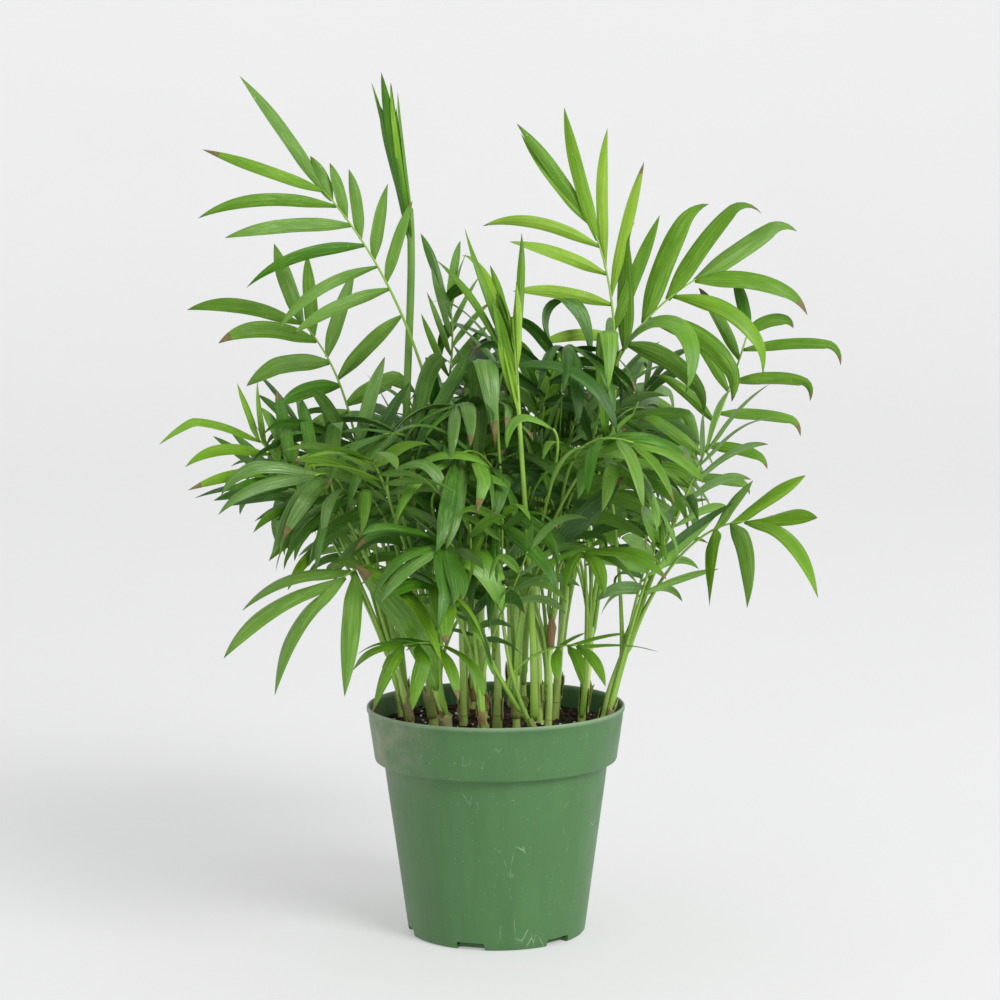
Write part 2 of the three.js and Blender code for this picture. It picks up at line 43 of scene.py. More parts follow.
up, gravity, east = Vector((0, 0, 1)), Vector((0, 0, -1)), Vector((1, 0, 0))


def mix(a, b, share):
    return a + (b - a) * share


def outward(turn):  # the level direction at an angle
    return Vector((math.cos(turn), math.sin(turn), 0))


def makeDice(seed):  # repeatable chance, the same rolls as in the part's source
    state = [(seed * 2654435761) & 0xFFFFFFFF]

    def dice(low, high):
        state[0] = (state[0] * 1664525 + 1013904223) & 0xFFFFFFFF
        return low + (high - low) * state[0] / 4294967296

    dice(0, 1)
    return dice


def linearColour(code):  # sRGB hex to the linear values that a socket takes
    values = [int(code[i:i + 2], 16) / 255 for i in (1, 3, 5)]
    return [v / 12.92 if v <= 0.04045 else ((v + 0.055) / 1.055) ** 2.4 for v in values] + [1]


def every(*sizes):  # a pattern's scale, from what it measures in millimetres
    scales = [1 / (size * mm) for size in sizes]
    return scales if len(scales) > 1 else scales[0]


def addNode(tree, kind, links=None, stops=(), **settings):
    # links gives each socket a value, a hex colour, an output or another node, and goes by number where
    # sockets share a name; stops are a ramp's
    node = tree.nodes.new("ShaderNode" + kind)
    for name, value in settings.items():
        setattr(node, name, value)
    for count, (place, shade) in enumerate(stops):
        ramp = node.color_ramp.elements
        stop = ramp[count] if count < 2 else ramp.new(place)
        stop.position = place
        stop.color = linearColour(shade)
    for name, value in (links or {}).items():
        socket = node.inputs[name] if isinstance(name, int) else next(
            s for s in node.inputs if s.name == name and s.enabled)
        if isinstance(value, bpy.types.Node):
            value = next(s for s in value.outputs if s.enabled)
        if isinstance(value, bpy.types.NodeSocket):
            tree.links.new(value, socket)
        else:
            socket.default_value = linearColour(value) if isinstance(value, str) else value
    return node


def newMaterial(name, **sockets):  # a shader whose plain sockets are set here, and where each point lies
    material = bpy.data.materials.new(name)
    material.use_nodes = True
    tree = material.node_tree
    shader = tree.nodes["Principled BSDF"]
    for socket, value in sockets.items():
        shader.inputs[socket.replace("_", " ")].default_value = value
    return material, tree, shader, addNode(tree, "TexCoord").outputs["Object"]


def dress(tree, shader, colours, gloss=None, relief=None):
    # colours are the ground's, then each layer's: how much of it shows, and its shade. Gloss is a pattern and
    # the roughness where it is low and high, relief is a pattern, its strength and its depth.
    colour, *layers = colours
    for amount, shade in layers:
        colour = addNode(tree, "Mix", {"Factor": amount, "A": colour, "B": shade}, data_type="RGBA")
    finish = {"Base Color": colour}
    if gloss:
        pattern, low, high = gloss
        finish["Roughness"] = addNode(tree, "MapRange", {"Value": pattern, "To Min": low, "To Max": high})
    if relief:
        pattern, strength, depth = relief
        finish["Normal"] = addNode(tree, "Bump", {"Height": pattern, "Strength": strength,
                                                  "Distance": depth * mm})
    for socket, node in finish.items():
        tree.links.new(next(s for s in node.outputs if s.enabled), shader.inputs[socket])


def pickOnly(*things):
    if bpy.context.object and bpy.context.object.mode != "OBJECT":
        bpy.ops.object.mode_set(mode="OBJECT")
    bpy.ops.object.select_all(action="DESELECT")
    for thing in things:
        thing.select_set(True)
        bpy.context.view_layer.objects.active = thing


def settle(thing, name, material):  # its place goes into the mesh, and the object sits at the origin
    pickOnly(thing)
    bpy.ops.object.transform_apply(location=True, rotation=True, scale=True)
    thing.name = name
    thing.data.name = name
    thing.data.materials.append(material)
    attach(thing, "root")


def applyAll(thing):
    pickOnly(thing)
    for modifier in list(thing.modifiers):
        bpy.ops.object.modifier_apply(modifier=modifier.name)


def raisedDisc(sides, loops):  # a disc extruded through loops of a radius and a height, left in edit mode
    (wide, low), *others = loops
    pickOnly()
    bpy.ops.mesh.primitive_circle_add(vertices=sides, radius=wide * mm, fill_type="NGON",
                                      location=(0, 0, low * mm))
    bpy.ops.object.transform_apply(location=True)
    bpy.ops.object.mode_set(mode="EDIT")
    bpy.ops.mesh.select_all(action="SELECT")
    for radius, height in others:
        bpy.ops.mesh.extrude_region_move(TRANSFORM_OT_translate={"value": (0, 0, (height - low) * mm)})
        grow = radius / wide
        bpy.ops.transform.resize(value=(grow, grow, 1), center_override=(0, 0, height * mm))
        wide, low = radius, height
    return bpy.context.object


def closeDisc():  # back to object mode, with all faces outwards
    bpy.ops.mesh.select_all(action="SELECT")
    bpy.ops.mesh.normals_make_consistent(inside=False)
    bpy.ops.object.mode_set(mode="OBJECT")


print("frame loaded:", len(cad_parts), "nodes")

# Nursery pot

pot = {
    "sides": 128,
    # radius and height of each edge loop, from the foot up the outside, over the lip and down the inside
    "loops": [
        (50.6, 0), (51.7, 0.35), (52.3, 1.1), (52.9, 5), (54.9, 20), (57.6, 40), (60.3, 60), (63.1, 80),
        (65.3, 97), (65.7, 101.2), (66.0, 102.2), (66.8, 102.7), (70.5, 103.0), (71.1, 103.3),
        (71.4, 104.0), (72.2, 110), (73.4, 118), (74.7, 127), (75.1, 131.2), (75.7, 132), (76.0, 133),
        (75.9, 134.3), (75.4, 135), (74.7, 134.9), (74.2, 134.2), (73.9, 131), (72.6, 122), (71.4, 114),
        (69.9, 105.8), (69.1, 104.8), (65.6, 103.6), (64.3, 101.6), (63.6, 97), (58.9, 62), (54.2, 28),
        (50.9, 4), (50.1, 2.2), (49.4, 2),
    ],
    "notches": 6,
    "notchSize": (14, 17, 8.8),  # each cutter, its lower half under the pot
    "notchPlace": 52.2,  # from the pot's axis
    "notchRound": 1.2,
    "firstNotch": -107,  # degrees
    "green": "#4f7e47",
    "greenDeep": "#3e6539",
    "dust": "#9a9a84",
    "dustSide": (-30, -75),  # x at which it starts, and at which it is thickest
    "dustHeight": (85, 112),  # heights over which it thickens
    "paleLipHeight": (132.5, 134.5),  # of the lip's top edge, which is drawn paler
}


def makePot():
    body = raisedDisc(pot["sides"], pot["loops"])
    closeDisc()
    cutters = []  # drain notches in the foot, one cutter turned about the pot
    for i in range(pot["notches"]):
        turn = math.radians(pot["firstNotch"] + i * 360 / pot["notches"])
        place = outward(turn) * pot["notchPlace"] * mm
        bpy.ops.mesh.primitive_cube_add(size=1, location=place, rotation=(0, 0, turn))
        cutter = bpy.context.object
        cutter.scale = Vector(pot["notchSize"]) * mm
        bpy.ops.object.transform_apply(location=False, rotation=False, scale=True)
        corners = cutter.modifiers.new("corners", "BEVEL")
        corners.width = pot["notchRound"] * mm
        corners.segments = 3
        applyAll(cutter)
        cutters.append(cutter)
    pickOnly(*cutters)
    bpy.ops.object.join()
    cutter = bpy.context.object
    pickOnly(body)
    cut = body.modifiers.new("notches", "BOOLEAN")
    cut.operation = "DIFFERENCE"
    cut.object = cutter
    applyAll(body)
    bpy.data.objects.remove(cutter)
    bpy.ops.object.shade_smooth_by_angle(angle=math.radians(32))
    return body


def injectionMouldedPolypropylene():
    # tough waxy plastic: an even mid green, soft broad highlights, chalky rub marks and pale scuffs, and a
    # paler line along the lip's top edge
    material, tree, shader, place = newMaterial("injection_moulded_polypropylene", IOR=1.49)
    parts = addNode(tree, "SeparateXYZ", {"Vector": place})
    # faint flow bands from top to bottom
    upright = addNode(tree, "Mapping", {"Vector": place, "Scale": every(14.3, 14.3, 143)})
    flow = addNode(tree, "TexNoise", {"Vector": upright, "Scale": 1.0, "Detail": 4, "Roughness": 0.6})
    # old dust in patches, thickest on one side of the band
    patches = addNode(tree, "TexNoise", {"Vector": place, "Scale": every(23.8), "Detail": 8,
                                         "Roughness": 0.75})
    # the lip's top edge is drawn paler, set by height alone
    side, high, edge = [
        addNode(tree, "MapRange", {"Value": parts.outputs[axis], "From Min": start * mm, "From Max": end * mm,
                                   "To Min": least, "To Max": most})
        for axis, (start, end), least, most in (
            ("X", pot["dustSide"], 0.0, 1.0), ("Z", pot["dustHeight"], 0.25, 1.0),
            ("Z", pot["paleLipHeight"], 0.0, 0.55))]
    broken = addNode(tree, "MapRange", {"Value": patches, "From Min": 0.4, "From Max": 0.62,
                                        "To Min": 0.15, "To Max": 0.9})
    sided = addNode(tree, "Math", {0: side, 1: high}, operation="MULTIPLY")
    dusty = addNode(tree, "Math", {0: sided, 1: broken}, operation="MULTIPLY")
    grains = addNode(tree, "TexNoise", {"Vector": place, "Scale": every(1.43), "Detail": 2, "Roughness": 0.7})
    specks = addNode(tree, "MapRange", {"Value": grains, "From Min": 0.68, "From Max": 0.76, "To Max": 0.5})
    # scuffs, under 1 mm wide and some 20 mm long, leaning along the wall
    lean = addNode(tree, "Mapping", {"Vector": place, "Rotation": (0.3, 0.5, 0.2),
                                     "Scale": every(6.94, 6.94, 28.4)})
    scuffs = addNode(tree, "TexVoronoi", {"Vector": lean, "Scale": 1.0, "Randomness": 1.0},
                     feature="DISTANCE_TO_EDGE")
    line = addNode(tree, "MapRange", {"Value": scuffs, "From Max": 0.025, "To Min": 1.0, "To Max": 0.0})
    where = addNode(tree, "TexNoise", {"Vector": place, "Scale": every(18.2), "Detail": 2})
    patch = addNode(tree, "MapRange", {"Value": where, "From Min": 0.62, "From Max": 0.7, "To Max": 0.45})
    marks = addNode(tree, "Math", {0: line, 1: patch}, operation="MULTIPLY")
    worn = addNode(tree, "MapRange", {"Value": patches, "From Min": 0.35, "From Max": 0.75})
    # the mould's fine orange peel, drawn at 1.2 mm so that it shows
    peel = addNode(tree, "TexNoise", {"Vector": place, "Scale": every(1.22), "Detail": 2})
    dress(tree, shader, [pot["green"], (flow, pot["greenDeep"]), (dusty, pot["dust"]), (specks, "#a9b89c"),
                         (edge, "#9db092"), (marks, "#b9c9b0")], (worn, 0.38, 0.6), (peel, 0.12, 0.3))
    return material


potBody = makePot()
settle(potBody, "nursery_pot", injectionMouldedPolypropylene())
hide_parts("pot")
print("pot:", len(potBody.data.polygons), "faces")

# Potting mix, bark crumbs and perlite

filling = {
    "sides": 96,
    "loops": [(50.2, 4.8), (63.6, 99), (68.6, 105.6), (70.4, 115), (71.5, 122.2)],
    "rings": 26,  # inset rings across the top
    "loose": (71, 120),  # the radius inside which, and the height over which, the surface is uneven
    "humps": (30, 6.5),  # width and height
    "clods": (4.5, 3.2),
    "reach": 70,  # of the crumbs, from the pot's axis
    "dropFrom": 140,  # the height from which they fall
    "crumbs": 1500,
    "crumbSize": (1.1, 4.6),
    "perlite": 190,
    "perliteSize": (1.0, 3.0),
    "rough": 0.16,  # how far a lump's corners stray, as a share of their way from its middle
    "bared": 0.18,  # how far its middle stands over the mix, as a share of its size
}


def peatMix(name, dark, light):
    # wet peat and bark fines: nearly black brown, no gloss but for specks of damp
    material, tree, shader, place = newMaterial(name, IOR=1.4)
    grain = addNode(tree, "TexNoise", {"Vector": place, "Scale": every(2.38), "Detail": 5, "Roughness": 0.7})
    shade = addNode(tree, "ValToRGB", {"Fac": grain}, stops=[(0.3, dark), (0.55, light), (0.75, "#5a4231")])
    dress(tree, shader, [shade], (grain, 0.95, 0.6), (grain, 0.6, 1.2))
    return material


def expandedPerlite():
    # popped volcanic glass: chalk white, pitted, with no shine
    material, tree, shader, place = newMaterial("expanded_perlite", IOR=1.45)
    pits = addNode(tree, "TexNoise", {"Vector": place, "Scale": every(0.714), "Detail": 3})
    dress(tree, shader, ["#cfc8bb", (pits, "#f3f0e9")], (pits, 0.75, 0.95), (pits, 0.5, 0.4))
    return material


def makeFilling():
    body = raisedDisc(filling["sides"], filling["loops"])
    step = filling["loops"][-1][0] / (filling["rings"] + 0.6)
    for ring in range(filling["rings"]):
        bpy.ops.mesh.inset(thickness=step * mm)
    bpy.ops.mesh.poke()
    closeDisc()
    wide, low = filling["loose"]
    loose = [v.index for v in body.data.vertices if v.co.z > low * mm and v.co.xy.length < wide * mm]
    body.vertex_groups.new(name="loose").add(loose, 1, "REPLACE")
    for name in ("humps", "clods"):
        across, height = filling[name]
        texture = bpy.data.textures.new(name, "CLOUDS")
        texture.noise_scale = across * mm
        swell = body.modifiers.new(name, "DISPLACE")
        swell.texture = texture
        swell.texture_coords = "LOCAL"
        swell.direction = "Z"
        swell.vertex_group = "loose"
        swell.mid_level = 0.55
        swell.strength = height * mm
    applyAll(body)
    bpy.ops.object.shade_smooth_by_angle(angle=math.radians(50))
    return body


def scatter(heap, seed, count, sizes, ground, slots, flat):  # one lump copied over the mix, each its own
    dice = makeDice(seed)
    pickOnly()
    bpy.ops.mesh.primitive_ico_sphere_add(subdivisions=1, radius=0.5)
    ball = bpy.context.object
    shape = np.array([v.co for v in ball.data.vertices])
    faces = [tuple(f.vertices) for f in ball.data.polygons]
    bpy.data.objects.remove(ball)
    for i in range(count):
        away = filling["reach"] * math.sqrt(dice(0, 1))
        turn = dice(0, 2 * math.pi)
        size = mix(*sizes, dice(0, 1) ** 2)
        spot = Vector((away * math.cos(turn), away * math.sin(turn), filling["dropFrom"])) * mm
        hit = ground.ray_cast(spot, gravity)[0]
        turned = Matrix.Rotation(dice(0, 6.28), 3, "Z") @ Matrix.Rotation(dice(-0.6, 0.6), 3, "X")
        lump = shape * [size * dice(0.8, 1.9), size * dice(0.7, 1.1), size * mix(flat, 1, dice(0, 1))]
        lump = lump * (1 + filling["rough"] * np.array([[dice(-1, 1)] for _ in lump]))
        centre = np.array(hit) / mm + [0, 0, size * filling["bared"]]
        addShape(heap, lump @ np.array(turned).T + centre, faces, int(dice(0, slots)))


# Meshes from arrays


def newHeap():
    return {"points": [], "faces": [], "slots": [], "maps": [], "folds": [], "count": 0}


def addShape(heap, points, faces, slot=0, places=None, folds=None):
    # places are each point's spot on a leaf's map; an edge is sharp between points of one fold
    start = heap["count"]
    heap["points"].append(np.array(points, float))
    heap["faces"] += [tuple(i + start for i in face) for face in faces]
    heap["slots"] += [slot] * len(faces) if isinstance(slot, int) else list(slot)
    heap["maps"].append(np.zeros((len(points), 2)) if places is None else places)
    heap["folds"].append(np.zeros(len(points), int) if folds is None else folds)
    heap["count"] += len(points)


def pieceOf(heap, name, materials, mapName=None):
    mesh = bpy.data.meshes.new(name)
    mesh.from_pydata((np.concatenate(heap["points"]) * mm).tolist(), [], heap["faces"])
    mesh.polygons.foreach_set("material_index", heap["slots"])
    mesh.polygons.foreach_set("use_smooth", [True] * len(mesh.polygons))
    if mapName:
        corners = np.zeros(len(mesh.loops), int)
        mesh.loops.foreach_get("vertex_index", corners)
        places = np.concatenate(heap["maps"])[corners]
        mesh.uv_layers.new(name=mapName).data.foreach_set("uv", places.ravel())
    folds = np.concatenate(heap["folds"])
    ends = np.zeros(len(mesh.edges) * 2, int)
    mesh.edges.foreach_get("vertices", ends)
    ends = folds[ends.reshape(-1, 2)]
    crease = mesh.attributes.new("sharp_edge", "BOOLEAN", "EDGE")
    crease.data.foreach_set("value", (ends[:, 0] == ends[:, 1]) & (ends[:, 0] > 0))
    mesh.update()
    piece = bpy.data.objects.new(name, mesh)
    bpy.context.scene.collection.objects.link(piece)
    for material in materials:
        mesh.materials.append(material)
    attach(piece, "root")
    return piece


def stripFaces(count, sides):  # the faces between rings of points that follow each other
    return [(a + j, a + (j + 1) % sides, a + sides + (j + 1) % sides, a + sides + j)
            for a in range(0, (count - 1) * sides, sides) for j in range(sides)]


def lofted(rings):  # faces through equal rings, with both ends closed
    sides = len(rings[0])
    last = (len(rings) - 1) * sides
    faces = [tuple(reversed(range(sides))), *stripFaces(len(rings), sides), tuple(range(last, last + sides))]
    return [p for ring in rings for p in ring], faces


peat = peatMix("damp_peat_mix", "#150e09", "#30221a")
fill = makeFilling()
settle(fill, "potting_mix_bed", peat)
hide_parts("potting_mix")
ground = BVHTree.FromPolygons([v.co for v in fill.data.vertices],
                              [tuple(f.vertices) for f in fill.data.polygons])
heap = newHeap()
scatter(heap, 11, filling["crumbs"], filling["crumbSize"], ground, 3, 0.35)
barks = [peatMix("bark_fines", "#1d130c", "#3b2a1e"), peatMix("bark_chips", "#2c1d12", "#4d3524"), peat]
crumbs = pieceOf(heap, "bark_crumbs", barks)
heap = newHeap()
scatter(heap, 12, filling["perlite"], filling["perliteSize"], ground, 1, 0.8)
grains = pieceOf(heap, "perlite_grains", [expandedPerlite()])
print("potting mix:", sum(len(piece.data.polygons) for piece in (fill, crumbs, grains)), "faces")

# The plant's rule, as in the part's source

mixTop = 124
clear = 0.3
stemSides = 6
stemShares = [0, 0.15, 0.55, 1]
petioleSides = 3
petioleRadius = 1.6
ribRadius = 1.15
leafThickness = 0.0125
leafRoot = 1.5
fusedPart = 0.9
crownRing = [1.9, 2.4, 2.9]
stemTaper = 0.66
stemFlare = 1.2
flareShare = 0.15  # of the stem's height
stemBow = 0.12
leafSteps = 12
wayTries = 240
waySlack = 0.1  # more at each try
leafTries = [0, 14, -14, 28, -28, 42]
ribShares = [0, 0.16, 0.36, 0.57, 0.78, 1]
fullStations = [(0, 0), (4, 0.98), (8, 0.84)]
plainStations = [(0, 0), (5, 1)]

# foot x and y, crown x, y and z, and width
stemPlaces = [
    (63, -14, 76, -19, 172, 7.4), (51, 8, 57, 8, 178, 4.6), (54, 35, 60, 42, 188, 4.0),
    (30, -35, 33, -37, 196, 4.9), (26, 12, 23, 8, 222, 5.2), (35, 27, 43, 26, 200, 5.6),
    (12, -20, 13, -26, 212, 4.6), (16, 30, 19, 34, 216, 5.0), (24, -54, 8, -57, 152, 4.6),
    (1, -5, 1, -8, 206, 5.4), (-7, 21, -8, 22, 192, 4.4), (-14, 46, -16, 54, 196, 4.6),
    (-19, 3, -20, -2, 198, 4.7), (-27, -40, -36, -46, 158, 5.8), (-36, -14, -45, -17, 188, 5.4),
    (-52, 11, -58, 12, 184, 4.7), (-49, -20, -61, -27, 170, 5.0), (-57, 32, -65, 40, 172, 4.2),
    (37, 53, 42, 66, 194, 4.5), (9, 58, 8, 70, 190, 4.2), (-33, 43, -38, 54, 186, 4.6),
    (-6, -57, -10, -62, 156, 4.8),
]
stems = [{"foot": p[:2], "crown": Vector(p[2:5]), "width": p[5]} for p in stemPlaces]


def curveThrough(*points):  # a Bezier curve of any degree: its point and its direction at a share
    points = [Vector(p) for p in points]

    def at(share, hold=points):
        while len(hold) > 1:
            hold = [a.lerp(b, share) for a, b in zip(hold, hold[1:])]
        return hold[0]

    def heading(share):
        return at(share, [b - a for a, b in zip(points, points[1:])]).normalized()

    return at, heading


def squareTo(along, way):  # the part of a way that stands square to a line
    return (way - along * way.dot(along)).normalized()


def ringAbout(centre, along, across, radii):  # points round a line, the first one across
    side = squareTo(along, across)
    over = along.cross(side)
    turns = [2 * math.pi * j / len(radii) for j in range(len(radii))]
    return [centre + side * r * math.cos(t) + over * r * math.sin(t) for r, t in zip(radii, turns)]


def stemCurve(stem):
    foot = Vector((*stem["foot"], mixTop + clear))
    middle = (foot + stem["crown"]) / 2
    middle.xy -= (stem["crown"].xy - foot.xy) * stemBow
    return curveThrough(foot, middle, stem["crown"])


def stemRadius(stem, share):
    return stem["width"] / 2 * mix(1, stemTaper, share) * mix(stemFlare, 1, min(1, share / flareShare))


# lead is how far a frond climbs on along its stem, face the way its upper side looks. Spread, size and
# droop are for the left and the right leaflets, spread and size at the frond's foot and tip.
shownFronds = [
    {"name": "frond_top_left", "stem": 13, "lead": 110, "bend": (-52, -20, 386), "tip": (-98, -15, 437),
     "face": (0.2, -1, 0.25), "blade": 0.68, "pairs": 5, "leaf": 88, "width": 9.5,
     "spread": ((82, 36), (45, 6)), "size": ((0.9, 0.95), (0.62, 0.28)), "lift": 4, "droop": (0.75, 0.2),
     "end": ((31, 0.92, 0.12), (7, 0.98, 0.05)), "kinks": 0},
    {"name": "spear_left", "stem": 15, "lead": 90, "bend": (-43.5, -3, 370), "tip": (-48.5, 0, 426),
     "face": (0, -1, 0), "blade": 0.93, "pairs": 1, "leaf": 84, "width": 7,
     "spread": ((6.5, 6.5), (-4, -4)), "size": ((0.8, 0.97), (0.8, 0.93)), "lift": 2, "droop": (-0.05, -0.02),
     "thick": (2.1, 2.2), "spear": 11, "sheath": 1, "fold": 2.8, "kinks": 0,
     "body": (0.55, 0.66), "crest": (-1, 0, 2.5), "from": (0.87, 0.97), "upTo": (0.76, 0.96),
     "apart": (6, 11), "slender": (0.9, 1.35), "sickle": 3, "dryTips": 0},
    {"name": "frond_left_upper", "stem": 18, "lead": 90, "bend": (-78, 34, 320), "tip": (-115, 50, 358),
     "face": (0.3, -1, 0.6), "blade": 0.62, "pairs": 4, "leaf": 62, "width": 12.5,
     "spread": ((84, 34), (72, 18)), "size": ((0.7, 1.22), (0.95, 0.95)), "lift": 8, "droop": (0.8, 0.3)},
    {"name": "frond_back_left", "stem": 21, "lead": 80, "bend": (-18, 66, 330), "tip": (-27, 68, 368),
     "face": (0.9, -0.6, 0.2), "blade": 0.6, "pairs": 5, "leaf": 60, "width": 8,
     "spread": ((50, 16), (46, 16)), "size": ((0.9, 0.9), (0.7, 0.7)), "lift": 6, "droop": (0.2, 0.2),
     "stations": plainStations, "tint": "old"},
    {"name": "spear_middle", "stem": 7, "lead": 60, "bend": (17, -62, 320), "tip": (11, -60, 366),
     "face": (0.1, -1, 0.1), "blade": 0.7, "pairs": 3, "leaf": 64, "width": 8,
     "spread": ((30, 22), (8, 4)), "size": ((1, 1), (0.6, 0.6)), "lift": 4, "droop": (0.6, 0.1),
     "tint": "young", "stalk": ((22, -54, 139), (22, -84, 209), (15, -94, 277)), "sprung": True,
     "thick": (2.1, 1.1), "spear": 9, "fold": 2.1, "kinks": 0,
     "body": (0.4, 0.6), "crest": (6, 0, 0), "from": (0.76, 0.93), "upTo": (0.4, 0.62), "apart": (0.5, 2),
     "slender": (0.8, 1.2), "sickle": 5, "dryTips": 0,
     # the leaflets that have opened: degrees to the right, length, width and droop
     "opened": ((-15, 86, 6.5, 0.2), (-9, 84, 9, 1.9), (-21, 80, 7, 0.9), (-3, 78, 7.5, 2.4),
                (6, 72, 6.5, -0.3), (2, 60, 8, 0.2), (-7, 64, 7, 0.9))},
    {"name": "frond_top_right", "stem": 2, "lead": 90, "bend": (82, 2, 364), "tip": (56, 10, 417),
     "face": (0.1, -1, 0.1), "blade": 0.66, "pairs": 4, "leaf": 92, "width": 9.5,
     "spread": ((76, 36), (26, -6)), "size": ((0.6, 0.85), (0.92, 0.84)), "lift": 4, "droop": (0.55, 0.12),
     "end": ((13, 0.78, 0.25), (-9, 0.85, 0.1)), "tint": "young", "kinks": 0},
    {"name": "frond_upper_right", "stem": 6, "lead": 105, "bend": (60, -8, 349), "tip": (119, 14, 384),
     "face": (-0.1, -1, 0.4), "blade": 0.66, "pairs": 3, "leaf": 96, "width": 15,
     "spread": ((30, 10), (66, 34)), "size": ((0.9, 1), (0.8, 0.85)), "lift": 4, "droop": (0.4, 1.9),
     "end": ((0, 0.86, 0.2), (32, 0.8, 1.2)), "curl": 1.5},
    {"name": "frond_far_right", "stem": 1, "lead": 45, "bend": (130, 8, 290), "tip": (150, 22, 354),
     "face": (0.1, -1, 0.5), "blade": 0.54, "pairs": 5, "leaf": 68, "width": 10.5,
     "spread": ((84, 30), (66, 66)), "size": ((0.75, 0.8), (0.6, 1.08)), "lift": 6, "droop": (0.5, 0.5),
     "end": ((28, 0.6, 0.5), (40, 0.5, 1.4)), "curl": 1.5, "dryTips": 0.95, "slim": 0.84},
    {"name": "frond_low_right", "stem": 1, "lead": 30, "bend": (108, -50, 248), "tip": (142, -62, 250),
     "face": (0.1, -0.5, 1), "blade": 0.8, "pairs": 2, "leaf": 66, "width": 14,
     "spread": ((60, -10), (80, 30)), "size": ((0.75, 0.9), (1.06, 1.2)), "lift": 10, "droop": (0.3, 2.2),
     "end": ((-17, 0.9, 0.2), (34, 1.3, 2))},
    {"name": "frond_left_middle", "stem": 17, "lead": 40, "bend": (-104, -34, 262), "tip": (-134, -36, 295),
     "face": (0.3, -0.6, 1), "blade": 0.52, "pairs": 6, "leaf": 75, "width": 8,
     "spread": ((88, 42), (72, 26)), "size": ((0.8, 1.1), (0.6, 0.55)), "lift": 8, "droop": (0.5, 0.1)},
    {"name": "frond_left_back", "stem": 16, "lead": 40, "bend": (-98, 6, 256), "tip": (-128, 2, 266),
     "face": (0.2, -0.7, 1), "blade": 0.52, "pairs": 6, "leaf": 62, "width": 8,
     "spread": ((66, 28), (72, 28)), "size": ((0.6, 1), (0.8, 0.8)), "lift": 4, "droop": (0.5, 0.4),
     "stations": plainStations, "tint": "old"},
    {"name": "frond_low_left", "stem": 14, "lead": 40, "bend": (-50, -88, 248), "tip": (-83, -112, 226),
     "face": (0, -0.3, 1), "blade": 0.86, "pairs": 2, "leaf": 94, "width": 15,
     "spread": ((94, 2), (96, 26)), "size": ((1, 1), (0.6, 1)), "lift": 2, "droop": (1.8, 1.3),
     "end": ((3, 1, 1.7), (28, 1, 0.8))},
    {"name": "frond_left_front", "stem": 15, "lead": 45, "bend": (-60, -84, 276), "tip": (-66, -126, 292),
     "face": (0, -0.8, 1), "blade": 0.6, "pairs": 5, "leaf": 62, "width": 10,
     "spread": ((74, 26), (76, 26)), "lift": 10, "droop": (1.1, 1.1)},
    {"name": "frond_front_middle", "stem": 4, "lead": 60, "bend": (32, -108, 314), "tip": (76, -122, 300),
     "face": (0, -0.3, 1), "blade": 0.6, "pairs": 4, "leaf": 58, "width": 10.5,
     "spread": ((80, 24), (84, 24)), "size": ((0.8, 0.9), (0.9, 0.9)), "lift": 0, "droop": (1.2, 2.2)},
    {"name": "frond_front_low", "stem": 9, "lead": 18, "bend": (-16, -92, 212), "tip": (-30, -124, 222),
     "face": (0, -0.6, 1), "blade": 0.66, "pairs": 3, "leaf": 60, "width": 17,
     "spread": ((110, 30), (70, 40)), "size": ((0.7, 1.1), (0.8, 0.7)), "lift": 2, "droop": (2.2, 1.7)},
    {"name": "frond_front_right", "stem": 4, "lead": 30, "bend": (38, -88, 238), "tip": (50, -100, 238),
     "face": (0, -0.3, 1), "blade": 0.8, "pairs": 2, "leaf": 54, "width": 9.5,
     "spread": ((74, 26), (74, 26)), "size": ((0.7, 1.1), (0.7, 0.9)), "lift": 2, "droop": (1.1, 1.4)},
    {"name": "frond_front_left", "stem": 22, "lead": 20, "bend": (-26, -100, 192), "tip": (-50, -134, 192),
     "face": (0, -0.4, 1), "blade": 0.62, "pairs": 3, "leaf": 58, "width": 12,
     "spread": ((80, 20), (80, 20)), "size": ((0.8, 1.1), (0.5, 0.7)), "lift": 2, "droop": (2.2, 1.3)},
    {"name": "frond_low_front", "node": "frond_front_low", "stem": 9, "lead": 12, "bend": (26, -74, 184),
     "tip": (46, -88, 184), "face": (0, -0.3, 1), "blade": 0.8, "pairs": 2, "leaf": 52, "width": 8.5,
     "spread": ((40, 22), (60, 30)), "size": ((0.45, 1.05), (0.7, 0.9)), "lift": 4, "droop": (0.35, 1.7)},
]
for number, frond in enumerate(shownFronds):
    frond["seed"] = number + 1
    frond.setdefault("node", frond["name"])

inner = {
    "reach": (38, 98),  # youngest and oldest
    "rise": (142, 34),
    "arch": (0, 26),
    "leaf": (58, 74),
    "width": (10.5, 13),
    "droop": (0.5, 2.2),
    "roll": 0.95,
    "outwards": 0.5,
    "bend": 0.45,  # share of the reach
    "spread": ((66, 22), (66, 22)),
    "lift": -8,
    "kinks": 0.4,
    "curl": 0.7,
    "blade": 0.42,
    "pairs": 6,  # the source's broad leaflets are this many finer pairs here
    "slender": 0.9,  # of the source's width
}
innerPlaces = [  # stem, heading in degrees, and age from 0 (young and upright) to 1 (old and low)
    (2, 50, 0.25), (3, 70, 0.6), (4, 300, 0.5), (5, 290, 0.15), (5, 80, 0.8), (6, 30, 0.35), (7, 240, 0.6),
    (8, 120, 0.1), (8, 10, 0.75), (10, 250, 0.3), (10, 170, 0.72), (11, 100, 0.2), (11, 20, 0.7),
    (12, 80, 0.15), (12, 150, 0.65), (13, 215, 0.4), (13, 280, 0.8), (15, 190, 0.3), (15, 235, 0.6),
    (16, 150, 0.5), (17, 230, 0.32), (18, 140, 0.5), (19, 40, 0.2), (19, 95, 0.8), (20, 75, 0.6),
    (21, 105, 0.3), (21, 165, 0.6), (22, 250, 0.5),
]


